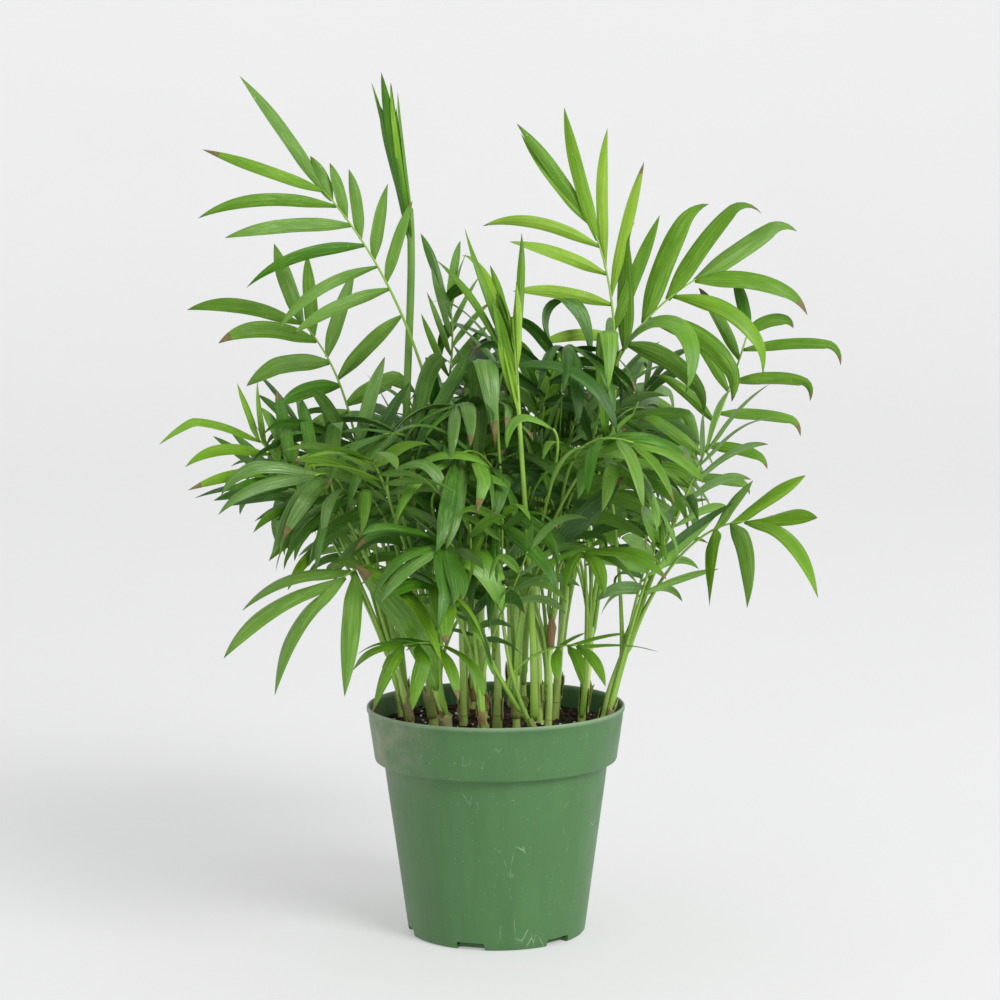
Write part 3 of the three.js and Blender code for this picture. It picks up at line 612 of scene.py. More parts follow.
def innerFrond(count, number, heading, age):
    dice = makeDice(900 + count)
    crown = stems[number - 1]["crown"]
    out = outward(math.radians(heading + dice(-10, 10)))
    reach, rise, arch = [mix(*inner[key], age) for key in ("reach", "rise", "arch")]
    roll = inner["roll"]
    face = Vector((dice(-roll, roll), dice(-roll, roll), 1)) - out * inner["outwards"]
    return {
        "node": f"inner_fronds_{number:02d}", "stem": number, "seed": 100 + count, "lead": rise * 0.5,
        "bend": crown + out * reach * inner["bend"] + up * rise + up * arch,
        "tip": crown + out * reach + up * rise, "face": face, "stations": plainStations, "tint": "old",
        "leaf": dice(*inner["leaf"]), "width": dice(*inner["width"]) * inner["slender"],
        "droop": (dice(*inner["droop"]), dice(*inner["droop"])),
        **{key: inner[key] for key in ("blade", "pairs", "spread", "lift", "kinks", "curl")},
    }


fronds = shownFronds + [innerFrond(i, *row) for i, row in enumerate(innerPlaces)]
for frond in fronds:
    frond.setdefault("size", ((1, 1), (1, 1)))
    frond.setdefault("stations", fullStations)
    frond.setdefault("tint", "grown")
    for key in ("face", "bend", "tip"):
        frond[key] = Vector(frond[key])


def leanOf(frond):
    run = frond["tip"] - stems[frond["stem"] - 1]["crown"]
    return math.atan2(run.y, run.x)


for number, stem in enumerate(stems):  # the fronds of one stem stand round its crown
    own = [f for f in fronds if f["stem"] == number + 1]
    nodes = list(dict.fromkeys(f["node"] for f in own))
    leans = [leanOf(next(f for f in own if f["node"] == node)) for node in nodes]
    order = sorted(range(len(nodes)), key=lambda k: leans[k])
    for frond in own:
        slot = order.index(nodes.index(frond["node"]))
        turn = leans[order[0]] + slot * 2 * math.pi / len(nodes)
        off = crownRing[len(nodes) - 2] if len(nodes) > 1 else 0
        part = fusedPart if sum(f["node"] == frond["node"] for f in own) > 1 else 0
        frond["seat"] = outward(turn) * off + outward(leanOf(frond)) * part


def frondLine(frond):
    at, heading = stemCurve(stems[frond["stem"] - 1])
    climb, crown = heading(1), at(1)
    seat = frond["seat"] + climb * (clear * 1.2 - frond["seat"].dot(climb))
    start = crown + seat
    return curveThrough(start, start + climb * frond["lead"], frond["bend"], frond["tip"])


def frameAt(line, face, share):
    along = line[1](share)
    top = squareTo(along, face)
    return line[0](share), along, top, along.cross(top)


def leafLine(root, start, top, length, droop, steps=leafSteps, bends=None):
    # bends are a leaf's own turns at each step, in radians: buckling under its weight, and to the side
    stations = []
    point, along, top = root.copy(), start.copy(), top.copy()
    for i in range(steps + 1):
        top = squareTo(along, top)
        stations.append((point.copy(), along.copy(), top.copy()))
        point = point + along * (length / steps)
        pull = gravity * (droop * (0.35 + 1.3 * i / steps) / steps)
        if bends:
            aside = along.cross(top)
            pull = pull + (gravity + aside * 0.6 - top * 0.3) * bends[i][0] + aside * bends[i][1]
        along = (along + pull).normalized()
    return stations


def plainLeaf(leaf, grow):  # the source's solid leaflet, for the clearance test
    stations = leafLine(leaf["root"], leaf["start"], leaf["up"], leaf["length"], leaf["droop"])
    rise = leafThickness * leaf["length"] + grow
    points = []
    for step, share in leaf["stations"]:
        point, along, top = stations[step]
        across = along.cross(top)
        half = max(share * leaf["width"], leafRoot) / 2 + grow
        points += [point - across * half - top * grow, point + top * rise, point + across * half - top * grow]
    points.append(stations[leafSteps][0])
    last = len(points) - 1
    tip = [(last - 3 + j, last - 3 + (j + 1) % 3, last) for j in range(3)]
    return points, [(0, 2, 1), *stripFaces(len(leaf["stations"]), 3), *tip]


def onRib(line, share):  # the solid rachis is straight between its shares
    after = next(i for i, stop in enumerate(ribShares) if stop >= share)
    low, high = ribShares[after - 1], ribShares[after]
    return line[0](low).lerp(line[0](high), (share - low) / (high - low))


def plainRib(line, face, grow):
    side = frameAt(line, face, 1)[3]
    rings = []
    for share in ribShares:
        along, radius = line[1](share), mix(petioleRadius, ribRadius, share) + grow
        rings.append(ringAbout(line[0](share), along, side.cross(along), [radius] * petioleSides))
    return lofted(rings)


def leavesOf(frond):
    dice = makeDice(frond["seed"])
    leaves = []
    for i in range(frond["pairs"] + 1):
        u = i / frond["pairs"]
        for hand in (0, 1):
            share = 0.99 if i == frond["pairs"] else mix(frond["blade"], 1, u + hand * 0.06)
            point, along, top, side = frameAt(frond["line"], frond["face"], share)
            spread, size = mix(*frond["spread"][hand], u), mix(*frond["size"][hand], u)
            droop = frond["droop"][hand]
            if i == frond["pairs"] and "end" in frond:  # the last pair goes on past the rachis
                spread, size, droop = frond["end"][hand]
            spread = math.radians(spread * dice(0.92, 1.08))
            lift = math.radians(frond["lift"] * dice(-0.2, 2.2))
            start = along * math.cos(spread) + side * (1 if hand else -1) * math.sin(spread)
            start = (start * math.cos(lift) + top * math.sin(lift)).normalized()
            fullness = (0.8 + 0.2 * math.sin(math.pi * (0.15 + 0.6 * u))) * size
            leaves.append({
                "root": onRib(frond["line"], share), "onLine": point, "start": start, "up": top,
                "length": frond["leaf"] * fullness * dice(0.92, 1.05),
                "width": frond["width"] * dice(0.88, 1.08), "droop": droop * dice(0.75, 1.25),
                "stations": frond["stations"],
            })
    return leaves


claimed = []  # tree, lowest and highest corner, and group of each solid that stands


def solidOf(points, faces):
    low = [min(p[k] for p in points) for k in range(3)]
    high = [max(p[k] for p in points) for k in range(3)]
    return BVHTree.FromPolygons(points, faces), low, high


def touches(shape, group):
    tree, low, high = solidOf(*shape)
    for other, otherLow, otherHigh, otherGroup in claimed:
        if otherGroup != group and all(low[k] <= otherHigh[k] and high[k] >= otherLow[k] for k in range(3)):
            if tree.overlap(other):
                return True
    return False


def claim(shape, group):
    claimed.append((*solidOf(*shape), group))


def clearLine(frond):  # a petiole that would cross another is led round it by a few millimetres
    dice = makeDice(frond["seed"] + 500)
    for attempt in range(wayTries):
        slack = attempt * waySlack
        moved = dict(frond)
        moved["lead"] = frond["lead"] * dice(1 - 0.01 * slack, 1 + 0.01 * slack)
        moved["bend"] = Vector([c + dice(-1, 1) * slack for c in frond["bend"]])
        moved["tip"] = Vector([c + dice(-0.4, 0.4) * slack for c in frond["tip"]])
        if attempt > wayTries / 2:
            moved["seat"] = Matrix.Rotation(dice(-0.5, 0.5), 3, "Z") @ frond["seat"]
        moved["line"] = frondLine(moved)
        if not touches(plainRib(moved["line"], frond["face"], clear), frond["node"]):
            break
    return moved


def clearLeaf(leaf, group):
    axis = leaf["start"].cross(leaf["up"])
    for turn in leafTries:
        swing = Matrix.Rotation(math.radians(turn), 3, axis)
        swung = dict(leaf, start=swing @ leaf["start"], up=swing @ leaf["up"])
        if not touches(plainLeaf(swung, clear), group):
            return swung
    return None


def putLeaves(frond):  # those that find room
    frond["leaves"] = []
    for wanted in leavesOf(frond):
        leaf = clearLeaf(wanted, frond["node"])
        if leaf:
            claim(plainLeaf(leaf, 0), frond["node"])
            frond["leaves"].append(leaf)


for number, stem in enumerate(stems):
    at, heading = stemCurve(stem)
    rings = []
    for share in stemShares:
        along = up if share == 0 else heading(share)
        rings.append(ringAbout(at(share), along, east, [stemRadius(stem, share)] * stemSides))
    claim(lofted(rings), f"stem_{number + 1:02d}")
grown = []
for frond in fronds:
    frond = clearLine(frond)
    claim(plainRib(frond["line"], frond["face"], 0), frond["node"])
    grown.append(frond)
for frond in grown:
    putLeaves(frond)

# small fronds from the stems' own joints, which the source leaves out, thicken the middle of the crown
shoots = {
    "each": 3,
    "from": (0.06, 0.7),  # share of the stem's height
    "rise": (60, 120),  # above its crown
    "reach": (10, 60),
    "pairs": 4,
    "leaf": (40, 62),
    "width": (6, 9.5),
    "droop": (0.3, 1.8),
    "blade": 0.6,
    "roll": 0.4,
    "outwards": 1.2,
    "nod": (12, 25),  # how far its tip stands out from and over the last bend
}


def sprungShoot(stem, count):
    at, heading = stemCurve(stem)
    dice = makeDice(1700 + count)
    share = dice(*shoots["from"])
    out = outward(dice(0, 2 * math.pi))
    foot = at(share) + out * stemRadius(stem, share) * 0.7
    top = stem["crown"] + out * dice(*shoots["reach"]) + up * dice(*shoots["rise"])
    climb = heading(share) * ((top.z - foot.z) * 0.45)
    beyond, over = shoots["nod"]
    roll = shoots["roll"]
    return {
        "node": f"shoot_{count}", "seed": 1800 + count, "pairs": shoots["pairs"], "blade": shoots["blade"],
        "leaf": dice(*shoots["leaf"]), "width": dice(*shoots["width"]), "spread": inner["spread"],
        "size": ((1, 1), (1, 1)), "lift": 0, "droop": (dice(*shoots["droop"]), dice(*shoots["droop"])),
        "face": Vector((dice(-roll, roll), dice(-roll, roll), 1)) - out * shoots["outwards"],
        "line": curveThrough(foot, foot + climb, top - out * beyond - up * over, top),
        "stations": plainStations, "tint": "old", "sprung": True,
    }


for count in range(len(stems) * shoots["each"]):
    shoot = sprungShoot(stems[count // shoots["each"]], count)
    putLeaves(shoot)
    grown.append(shoot)
print("rule grown:", len(grown), "fronds,", sum(len(f["leaves"]) for f in grown), "leaflets")

# Stems, with their leaf scars and what is left of old sheaths

cane = {
    "sides": 14,
    "step": 2.4,  # between rings
    "sunk": 9,  # below the mix's top
    "firstScar": (3, 8),  # above the mix
    "scarGap": (42, 105),  # between leaf scars
    "scarTop": 5,  # none is nearer to the crown
    "scarWidth": 0.8,
    "scarSwell": 0.045,  # of the radius
    "scarReach": 1.3,  # over which the swelling fades
    "roundTop": ((0.9, 0.8), (1.6, 0.4)),  # beyond the crown, and share of the radius there
    "slim": 0.9,  # of the rule's width
    "ridges": 0.045,
    "sway": 0.5,  # how far a stem wanders
    "brownFoot": (122, 155),  # heights over which the brown fades
    "greens": ("#9ac84a", "#d2ea7e", "#70a034"),
    "scar": ("#808a40", "#9faa56"),
}
husk = {
    "each": (1, 3),  # on a stem
    "height": (8, 24),
    "wrap": (100, 220),  # degrees of the stem that a husk goes round
    "peel": (0.5, 2.6),  # how far its top stands off
    "thick": 0.3,
    "loose": (1.09, 0.12),  # how far off it stands: times the stem's radius, and more
    "wide": 9,  # points across
    "tall": 6,  # points along
    "papers": {"papery_sheath": ("#6b5230", "#a88f5f"), "green_sheath": ("#71823a", "#9aa85c"),
               "straw_sheath": ("#8a8450", "#b9b481")},
}


def paleCane(name, green):
    # young palm cane: smooth and waxy, straw green with faint streaks along it, browner at the foot
    material, tree, shader, place = newMaterial(name, IOR=1.46)
    long = addNode(tree, "Mapping", {"Vector": place, "Scale": every(1.111, 1.111, 22.2)})
    streaks = addNode(tree, "TexNoise", {"Vector": long, "Scale": 1.0, "Detail": 3})
    blotch = addNode(tree, "TexNoise", {"Vector": place, "Scale": every(6.25), "Detail": 4,
                                        "Roughness": 0.65})
    height = addNode(tree, "SeparateXYZ", {"Vector": place}).outputs["Z"]
    low, high = cane["brownFoot"]
    brown = addNode(tree, "MapRange", {"Value": height, "From Min": low * mm, "From Max": high * mm,
                                       "To Min": 0.4, "To Max": 0.0})
    specks = addNode(tree, "MapRange", {"Value": blotch, "From Min": 0.62, "From Max": 0.76, "To Max": 0.5})
    dress(tree, shader, [green, (streaks, "#cae88a"), (brown, "#a8a463"), (specks, "#5c4a2b")],
          (blotch, 0.14, 0.3), (streaks, 0.3, 0.3))
    return material


def drySheath(name, dark, light):
    # dead leaf sheath: thin brown paper with long fibres, dull
    material, tree, shader, place = newMaterial(name, IOR=1.4)
    long = addNode(tree, "Mapping", {"Vector": place, "Scale": every(0.769, 0.769, 16.7)})
    fibre = addNode(tree, "TexNoise", {"Vector": long, "Scale": 1.0, "Detail": 4})
    dress(tree, shader, [dark, (fibre, light)], (fibre, 0.9, 0.65), (fibre, 0.6, 0.5))
    return material


def growStem(heap, number, stem):
    dice = makeDice(300 + number)
    at, heading = stemCurve(stem)
    run = (stem["crown"] - at(0)).length
    scars, reach = [], dice(*cane["firstScar"])
    while reach < run - cane["scarTop"]:
        scars.append(reach)
        reach += dice(*cane["scarGap"])
    half = cane["scarWidth"] / 2
    count = int((run + cane["sunk"]) / cane["step"])
    stops = {round(-cane["sunk"] + i * cane["step"], 2) for i in range(count)}
    stops = {s for s in stops if all(abs(s - scar) > 1.6 for scar in scars)}
    stops |= {scar + d for scar in scars for d in (-1.5, -half, half, 1.5)} | {run}
    stops = sorted(stops)
    ridges = [dice(-1, 1) * cane["ridges"] for _ in range(cane["sides"])]
    sway = [(dice(-1, 1), dice(0, 6.28), dice(0.06, 0.13)) for _ in range(2)]
    skin = int(dice(0, len(cane["greens"])))
    rings, slots = [], [skin]
    for before, stop in zip([None] + stops, stops):
        share = stop / run
        swell = sum(math.exp(-((stop - scar) / cane["scarReach"]) ** 2) for scar in scars)
        swell = swell * cane["scarSwell"]
        radius = stemRadius(stem, max(0, share)) * (1 + swell) * cane["slim"]
        fade = math.sin(math.pi * min(1, max(0, share))) * cane["sway"]
        drift = Vector([a * fade * math.sin(stop * c + b) for a, b, c in sway] + [0])
        radii = [radius * (1 + ridge * (1 + 0.6 * math.sin(stop * 0.21 + k)))
                 for k, ridge in enumerate(ridges)]
        rings.append(ringAbout(at(share) + drift, heading(share), east, radii))
        if before is not None:
            middle = (before + stop) / 2
            scarred = any(abs(middle - scar) < half for scar in scars)
            slots += [len(cane["greens"]) if scarred else skin] * cane["sides"]
    for beyond, shrink in cane["roundTop"]:  # inside the petioles' feet
        radii = [stemRadius(stem, 1) * shrink] * cane["sides"]
        rings.append(ringAbout(at(1) + heading(1) * beyond, heading(1), east, radii))
        slots += [skin] * cane["sides"]
    addShape(heap, *lofted(rings), slots + [skin])
    return scars, run


def shellFaces(wide, tall):  # two layers of a grid, and the rim between them
    count = wide * tall
    faces = []
    for k in range(tall - 1):
        for a in range(k * wide, k * wide + wide - 1):
            b = a + wide
            faces += [(a, a + 1, b + 1, b), (count + a, count + b, count + b + 1, count + a + 1)]
    rim = [*range(wide), *range(2 * wide - 1, count, wide), *range(count - 2, count - wide - 1, -1),
           *range(count - 2 * wide, 0, -wide)]
    return faces + [(b, a, count + a, count + b) for a, b in zip(rim, rim[1:] + rim[:1])]


def growHusks(heap, number, stem, scars, run):  # each is a thin curled shell round part of its stem
    dice = makeDice(400 + number)
    at, heading = stemCurve(stem)
    wide, tall = husk["wide"], husk["tall"]
    for i in range(int(dice(husk["each"][0], husk["each"][1] + 0.99))):
        foot = scars[min(i, len(scars) - 1)] - dice(0, 3)
        height = min(dice(*husk["height"]), run - foot)
        first = dice(0, 2 * math.pi)
        wrap = math.radians(dice(*husk["wrap"]))
        peel = dice(*husk["peel"])
        ragged = [dice(0.55, 1) * (0.75 + 0.25 * math.sin(math.pi * j / (wide - 1))) for j in range(wide)]
        points = []
        for off, k, j in product((husk["thick"], 0.0), range(tall), range(wide)):
            share = (foot + height * ragged[j] * k / (tall - 1)) / run
            turn = first + wrap * j / (wide - 1)
            edge = abs(j / (wide - 1) - 0.5) * 2
            away = stemRadius(stem, max(0, share)) * husk["loose"][0] + husk["loose"][1] + off
            away += peel * (k / (tall - 1)) ** 2 * (0.35 + 0.65 * edge ** 2)
            along = heading(share)
            side = squareTo(along, east)
            over = along.cross(side)
            points.append(at(share) + (side * math.cos(turn) + over * math.sin(turn)) * away)
        addShape(heap, points, shellFaces(wide, tall), int(dice(0, len(husk["papers"]))))


heap, husks = newHeap(), newHeap()
for number, stem in enumerate(stems):
    growHusks(husks, number, stem, *growStem(heap, number, stem))
skins = [paleCane(f"waxy_palm_cane_{i + 1}", green) for i, green in enumerate(cane["greens"])]
canes = pieceOf(heap, "cane_stems", skins + [drySheath("leaf_scar_cork", *cane["scar"])])
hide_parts(*[f"stem_{i + 1:02d}" for i in range(len(stems))])
sheaths = pieceOf(husks, "dry_sheaths", [drySheath(name, *tones) for name, tones in husk["papers"].items()])
print("stems:", len(canes.data.polygons) + len(sheaths.data.polygons), "faces")

# Petioles and rachises

petiole = {
    "sides": 8,
    "rings": 30,
    "foot": 1.35,  # radius where it has left the crown
    "tip": 0.5,
    "flare": 17,  # mm over which it swells to its stem's width
    "groove": 0.74,  # of the radius, along the upper side
    "brim": 1.04,  # on both sides of the groove
    "sunk": 9,  # how deep its foot starts inside the stem
    "filled": 0.86,  # of its stem's width, where it leaves the crown
}


def freshPetiole(name, green, light):
    # living leaf stalk: smooth, moist green skin with a slight wax bloom
    material, tree, shader, place = newMaterial(name, IOR=1.46)
    tone = addNode(tree, "TexNoise", {"Vector": place, "Scale": every(16.7), "Detail": 4})
    fine = addNode(tree, "TexNoise", {"Vector": place, "Scale": every(1.111), "Detail": 2})
    dress(tree, shader, [green, (tone, light)], (fine, 0.32, 0.5), (fine, 0.15, 0.2))
    return material


def growPetiole(heap, frond, slot):
    at, heading = frond["line"]
    thick = frond.get("thick", (petiole["foot"], petiole["tip"]))
    long = sum((at((i + 1) / 20) - at(i / 20)).length for i in range(20))
    if "sprung" in frond:  # it springs from the side of its stem
        broad = thick[0] * 1.5
        rings = [(at(0) - heading(0) * 3, heading(0), broad * 0.6)]
    else:
        stem = stems[frond["stem"] - 1]
        stemAt, stemHeading = stemCurve(stem)
        broad = stemRadius(stem, 1)
        down = stemHeading(1) * petiole["sunk"]
        rings = [((at(0) - down).lerp(stemAt(1) - down, 0.75), stemHeading(1), broad * 0.5)]
    for i in range(petiole["rings"] + 1):
        share = (i / petiole["rings"]) ** 1.25 * 0.995
        flare = (broad * petiole["filled"] - thick[0]) * math.exp(-share * long / petiole["flare"])
        rings.append((at(share), heading(share), mix(*thick, share ** 0.8) + flare))
    shape = [petiole["groove"], petiole["brim"], *[1.0] * (petiole["sides"] - 3), petiole["brim"]]
    loops = [ringAbout(centre, along, frond["face"], [radius * s for s in shape])
             for centre, along, radius in rings]
    addShape(heap, *lofted(loops), slot)


# Leaflets

leaflet = {
    "steps": 22,
    "slim": 0.82,  # of the rule's width
    "short": 0.985,  # of the rule's length, so that bends stay inside its reach
    "foot": 0.3,  # share of the full width at the rib
    "least": 0.8,  # narrowest width
    "body": (0.28, 0.5),  # shares of the length at which it is full, and at which it starts to taper
    "fold": (40, 17, 11, 14),  # degrees that each half drops, from root to tip
    "arch": 0.09,
    "twist": 54,  # degrees, either way, by the tip
    "sickle": 16,  # degrees that the blade curves sideways
    "kinks": 0.1,  # share of leaflets with a sharp bend
    "kink": (20, 65),
    "thick": (0.5, 0.2),
    "dryTips": 0.4,  # share of leaflets whose end has dried
    "deadSteps": 2.6,  # one step at the end is brown, and up to two more
    "ownGreen": 0.6,  # share of a frond's leaflets that are of its own green
    "streaks": 11,  # bundles of veins across it that show
}
leafSides, leafRows = 6, leaflet["steps"]
leafEnd = (leafRows - 1) * leafSides
leafMaps = [(u, i / leafRows) for i in range(leafRows) for u in (0, 0.25, 0.5, 0.75, 1, 0.5)]
leafMaps = np.array(leafMaps + [(0.5, 1)])
leafFolds = np.array([1, 0, 2, 0, 3, 4] * leafRows + [0])
leafFaces = [tuple(reversed(range(leafSides))), *stripFaces(leafRows, leafSides)]
leafFaces += [(leafEnd + j, leafEnd + (j + 1) % leafSides, leafEnd + leafSides) for j in range(leafSides)]


def palmLeaf(name, sheen, blade, shade, vein):
    # palm leaflet: leathery blade with a thin cuticle, pale parallel streaks and broad soft highlights
    material, tree, shader, place = newMaterial(name, IOR=1.46, Specular_IOR_Level=sheen)
    blotch = addNode(tree, "TexNoise", {"Vector": place, "Scale": every(20.8), "Detail": 4, "Roughness": 0.6})
    spread = addNode(tree, "MapRange", {"Value": blotch, "From Min": 0.3, "From Max": 0.7})
    # the veins stand 0.3 mm apart, so they are drawn in bundles of four or five, each leaf with its own
    own = addNode(tree, "UVMap", uv_map="leafMap")
    drift = addNode(tree, "TexNoise", {"Vector": place, "Scale": every(111), "Detail": 0})
    shift = addNode(tree, "MapRange", {"Value": drift, "To Max": 14.0})
    long = addNode(tree, "Mapping", {"Vector": own, "Scale": (leaflet["streaks"], 0.9, 1)})
    streak = addNode(tree, "TexNoise", {"Vector": long, "W": shift, "Scale": 1.0, "Detail": 2,
                                        "Roughness": 0.6}, noise_dimensions="4D")
    # a few pale nicks and specks, 1 mm across
    nick = addNode(tree, "TexNoise", {"Vector": place, "Scale": every(1.5625), "Detail": 1})
    pale, deep, rare = [
        addNode(tree, "MapRange", {"Value": pattern, "From Min": start, "From Max": end, "To Max": most})
        for pattern, start, end, most in (
            (streak, 0.5, 0.72, 0.5), (streak, 0.48, 0.3, 0.55), (nick, 0.76, 0.8, 0.5))]
    dress(tree, shader, [blade, (spread, shade), (pale, vein), (deep, shade), (rare, "#c9d69a")],
          (spread, 0.24, 0.42), (streak, 0.6, 1.2))
    return material


def dryTip():
    # dead leaf end: brown and brittle, with no gloss
    material, tree, shader, place = newMaterial("dried_leaf_end", IOR=1.4)
    fibre = addNode(tree, "TexNoise", {"Vector": place, "Scale": every(2), "Detail": 3})
    dress(tree, shader, ["#4f4326", (fibre, "#8f8350")], (fibre, 0.85, 0.6))
    return material


def along4(values, share):  # a value part way along four
    place = share * 3
    low = min(2, int(place))
    return mix(values[low], values[low + 1], place - low)


def leafBreadth(share, body):  # a ribbon that widens fast from its foot and runs out to a long point
    widens, narrows = body
    foot = mix(leaflet["foot"], 1, math.sin(math.pi / 2 * min(1, share / widens)))
    return foot * (1 - (max(0, share - narrows) / (1 - narrows)) ** 2.3)


def ownBends(dice, frond):
    sickle = math.radians(dice(-1, 1) * frond.get("sickle", leaflet["sickle"])) / leafRows
    curl = frond.get("curl", 0) * dice(0.3, 1.3)
    kink = math.radians(dice(*leaflet["kink"])) if dice(0, 1) < frond.get("kinks", leaflet["kinks"]) else 0
    at = int(dice(0.4, 0.8) * leafRows)
    bends = []
    for i in range(leafRows + 1):
        down = (kink / 2 if i in (at, at + 1) else 0) + (curl / 6 if i > 0.72 * leafRows else 0)
        bends.append((down, sickle * 2 * i / leafRows))
    return bends


def closedSpear(frond, dice):  # unopened leaflets stand folded round the top of the rachis
    tips = [leaf["onLine"] + leaf["start"] * leaf["length"] * leaflet["short"] for leaf in frond["leaves"]]
    highest = max(tips, key=lambda tip: tip.z) + Vector(frond["crest"])
    leaves = []
    for i in range(frond["spear"]):
        turn = 2 * math.pi * i / frond["spear"]
        point, along, top, side = frameAt(frond["line"], frond["face"], dice(*frond["from"]))
        out = top * math.cos(turn) + side * math.sin(turn)
        root = point + out * frond["thick"][1] * 0.9
        reach = 1 if i == 0 and "opened" not in frond else dice(*frond["upTo"])
        end = root.lerp(highest + out * dice(*frond["apart"]), reach)
        leaves.append({"onLine": root, "start": (end - root).normalized(), "up": out, "droop": -0.02,
                       "length": (end - root).length, "width": frond["width"] * dice(*frond["slender"])})
    for degrees, length, width, droop in frond.get("opened", ()):
        point, along, top, side = frameAt(frond["line"], frond["face"], dice(0.85, 0.95))
        turn = math.radians(degrees)
        start = (along * math.cos(turn) + side * math.sin(turn) + top * dice(-0.04, 0.01)).normalized()
        leaves.append({"onLine": point + side * degrees * 0.12 + top * dice(0.5, 2), "start": start,
                       "up": top, "droop": droop, "length": length, "width": width})
    return leaves


# broad old leaves that have bent over on stalks of their own: foot, two points that draw the leaf, its
# tip, its width, the way across the blade at its foot and at its tip, and which green it is
onward, hanging = ((0, -0.85, -0.5), (0, -0.85, -0.5)), ((0, -0.85, -0.5), (-1, -0.2, -0.3))
toward, upright = ((-1, 0, 0), (-1, 0, 0)), ((1, 0.2, -0.1), (1, 0.2, 0.1))
turning, leaning = ((0, 0.85, 0.5), (-0.6, 0.6, 0.3)), ((0.8, 0, 0.6), (0.8, 0, 0.6))
archedFace, archedThick = (0.2, -1, 0.3), (1.2, 0.7)  # their stalks' upper side, and radii at both ends
archedLeaves = [
    ((37, 2, 339), (10, -2, 372), (56, -8, 397), (56, -12, 336), 15, ((0, -1, 0), (-1, 0.1, 0)), 0),
    ((-9, -40, 277), (-8, -48, 360), (-4, -84, 362), (1, -84, 292), 17, toward, 3),
    ((64, -20, 293), (61, -28, 371), (68, -66, 374), (63, -70, 321), 14, toward, 2),
    ((74, 0, 343), (88, -20, 375), (125, -40, 364), (108, -50, 321), 15, hanging, 2),
    ((-44, -52, 291), (-33, -52, 311), (-22, -47, 330), (-11, -42, 350), 10, ((1, 0, -0.4), (1, 0, -0.4)), 0),
    ((-46, -45, 294), (-40, -50, 332), (-32, -70, 354), (-22, -84, 338), 12, ((1, 0, -0.3), (1, 0, -0.6)), 3),
    ((9, -60, 338), (37, -66, 346), (65, -74, 330), (68, -80, 301), 11, hanging, 1),
    ((32, -98, 306), (14, -104, 321), (6, -110, 310), (7, -114, 296), 9, turning, 2),
    ((55, -92, 290), (74, -98, 309), (94, -104, 301), (108, -108, 282), 15, onward, 2),
    ((-50, -88, 280), (-35, -94, 296), (-15, -99, 295), (-2, -102, 285), 9, onward, 2),
    ((-32, -88, 271), (-19, -92, 284), (-2, -96, 282), (8, -99, 273), 10, onward, 2),
    ((-56, -96, 283), (-40, -101, 295), (-27, -104, 286), (-27, -106, 263), 10, hanging, 3),
    ((-25, -97, 222), (-18, -102, 245), (0, -110, 241), (4, -113, 205), 24, hanging, 2),
    ((33, -84, 239), (44, -84, 249), (58, -80, 262), (72, -74, 277), 14, ((0.7, 0, -0.7), (0.7, 0, -0.7)), 1),
    ((-116, -45, 282), (-117, -46, 297), (-120, -47, 311), (-123, -48, 324), 9, upright, 0),
    ((-103, -43, 282), (-104, -44, 296), (-107, -46, 308), (-109, -48, 320), 9, upright, 0),
    ((-118, -42, 286), (-121, -42, 297), (-126, -43, 307), (-132, -44, 314), 8, upright, 2),
    ((-92, -62, 276), (-90, -66, 300), (-88, -78, 316), (-84, -94, 304), 11, upright, 3),
    ((28, -92, 229), (44, -95, 245), (67, -98, 240), (80, -101, 218), 10, onward, 2),
    ((-33, -62, 154), (-38, -84, 187), (-57, -106, 212), (-77, -116, 235), 17, leaning, 2),
]


def archedStations(leaf):  # along its own curve, the blade turning from one way across to the other
    at, heading = leaf["path"]
    first, last = [Vector(way) for way in leaf["across"]]
    stations = []
    for i in range(leafRows + 1):
        along = heading(i / leafRows)
        across = squareTo(along, first.lerp(last, i / leafRows))
        stations.append((at(i / leafRows), along, across.cross(along)))
    return stations


def archedStalk(foot, heading):  # from the side of the nearest stem up to the leaf's foot
    stem = min(stems, key=lambda s: (s["crown"].xy - foot.xy).length)
    share = min(0.85, max(0.05, (foot.z - 40 - mixTop) / (stem["crown"].z - mixTop)))
    spring = stemCurve(stem)[0](share)
    line = curveThrough(spring, spring + up * ((foot.z - spring.z) * 0.5), foot - heading * 18, foot)
    return {"line": line, "face": Vector(archedFace), "thick": archedThick, "sprung": True}


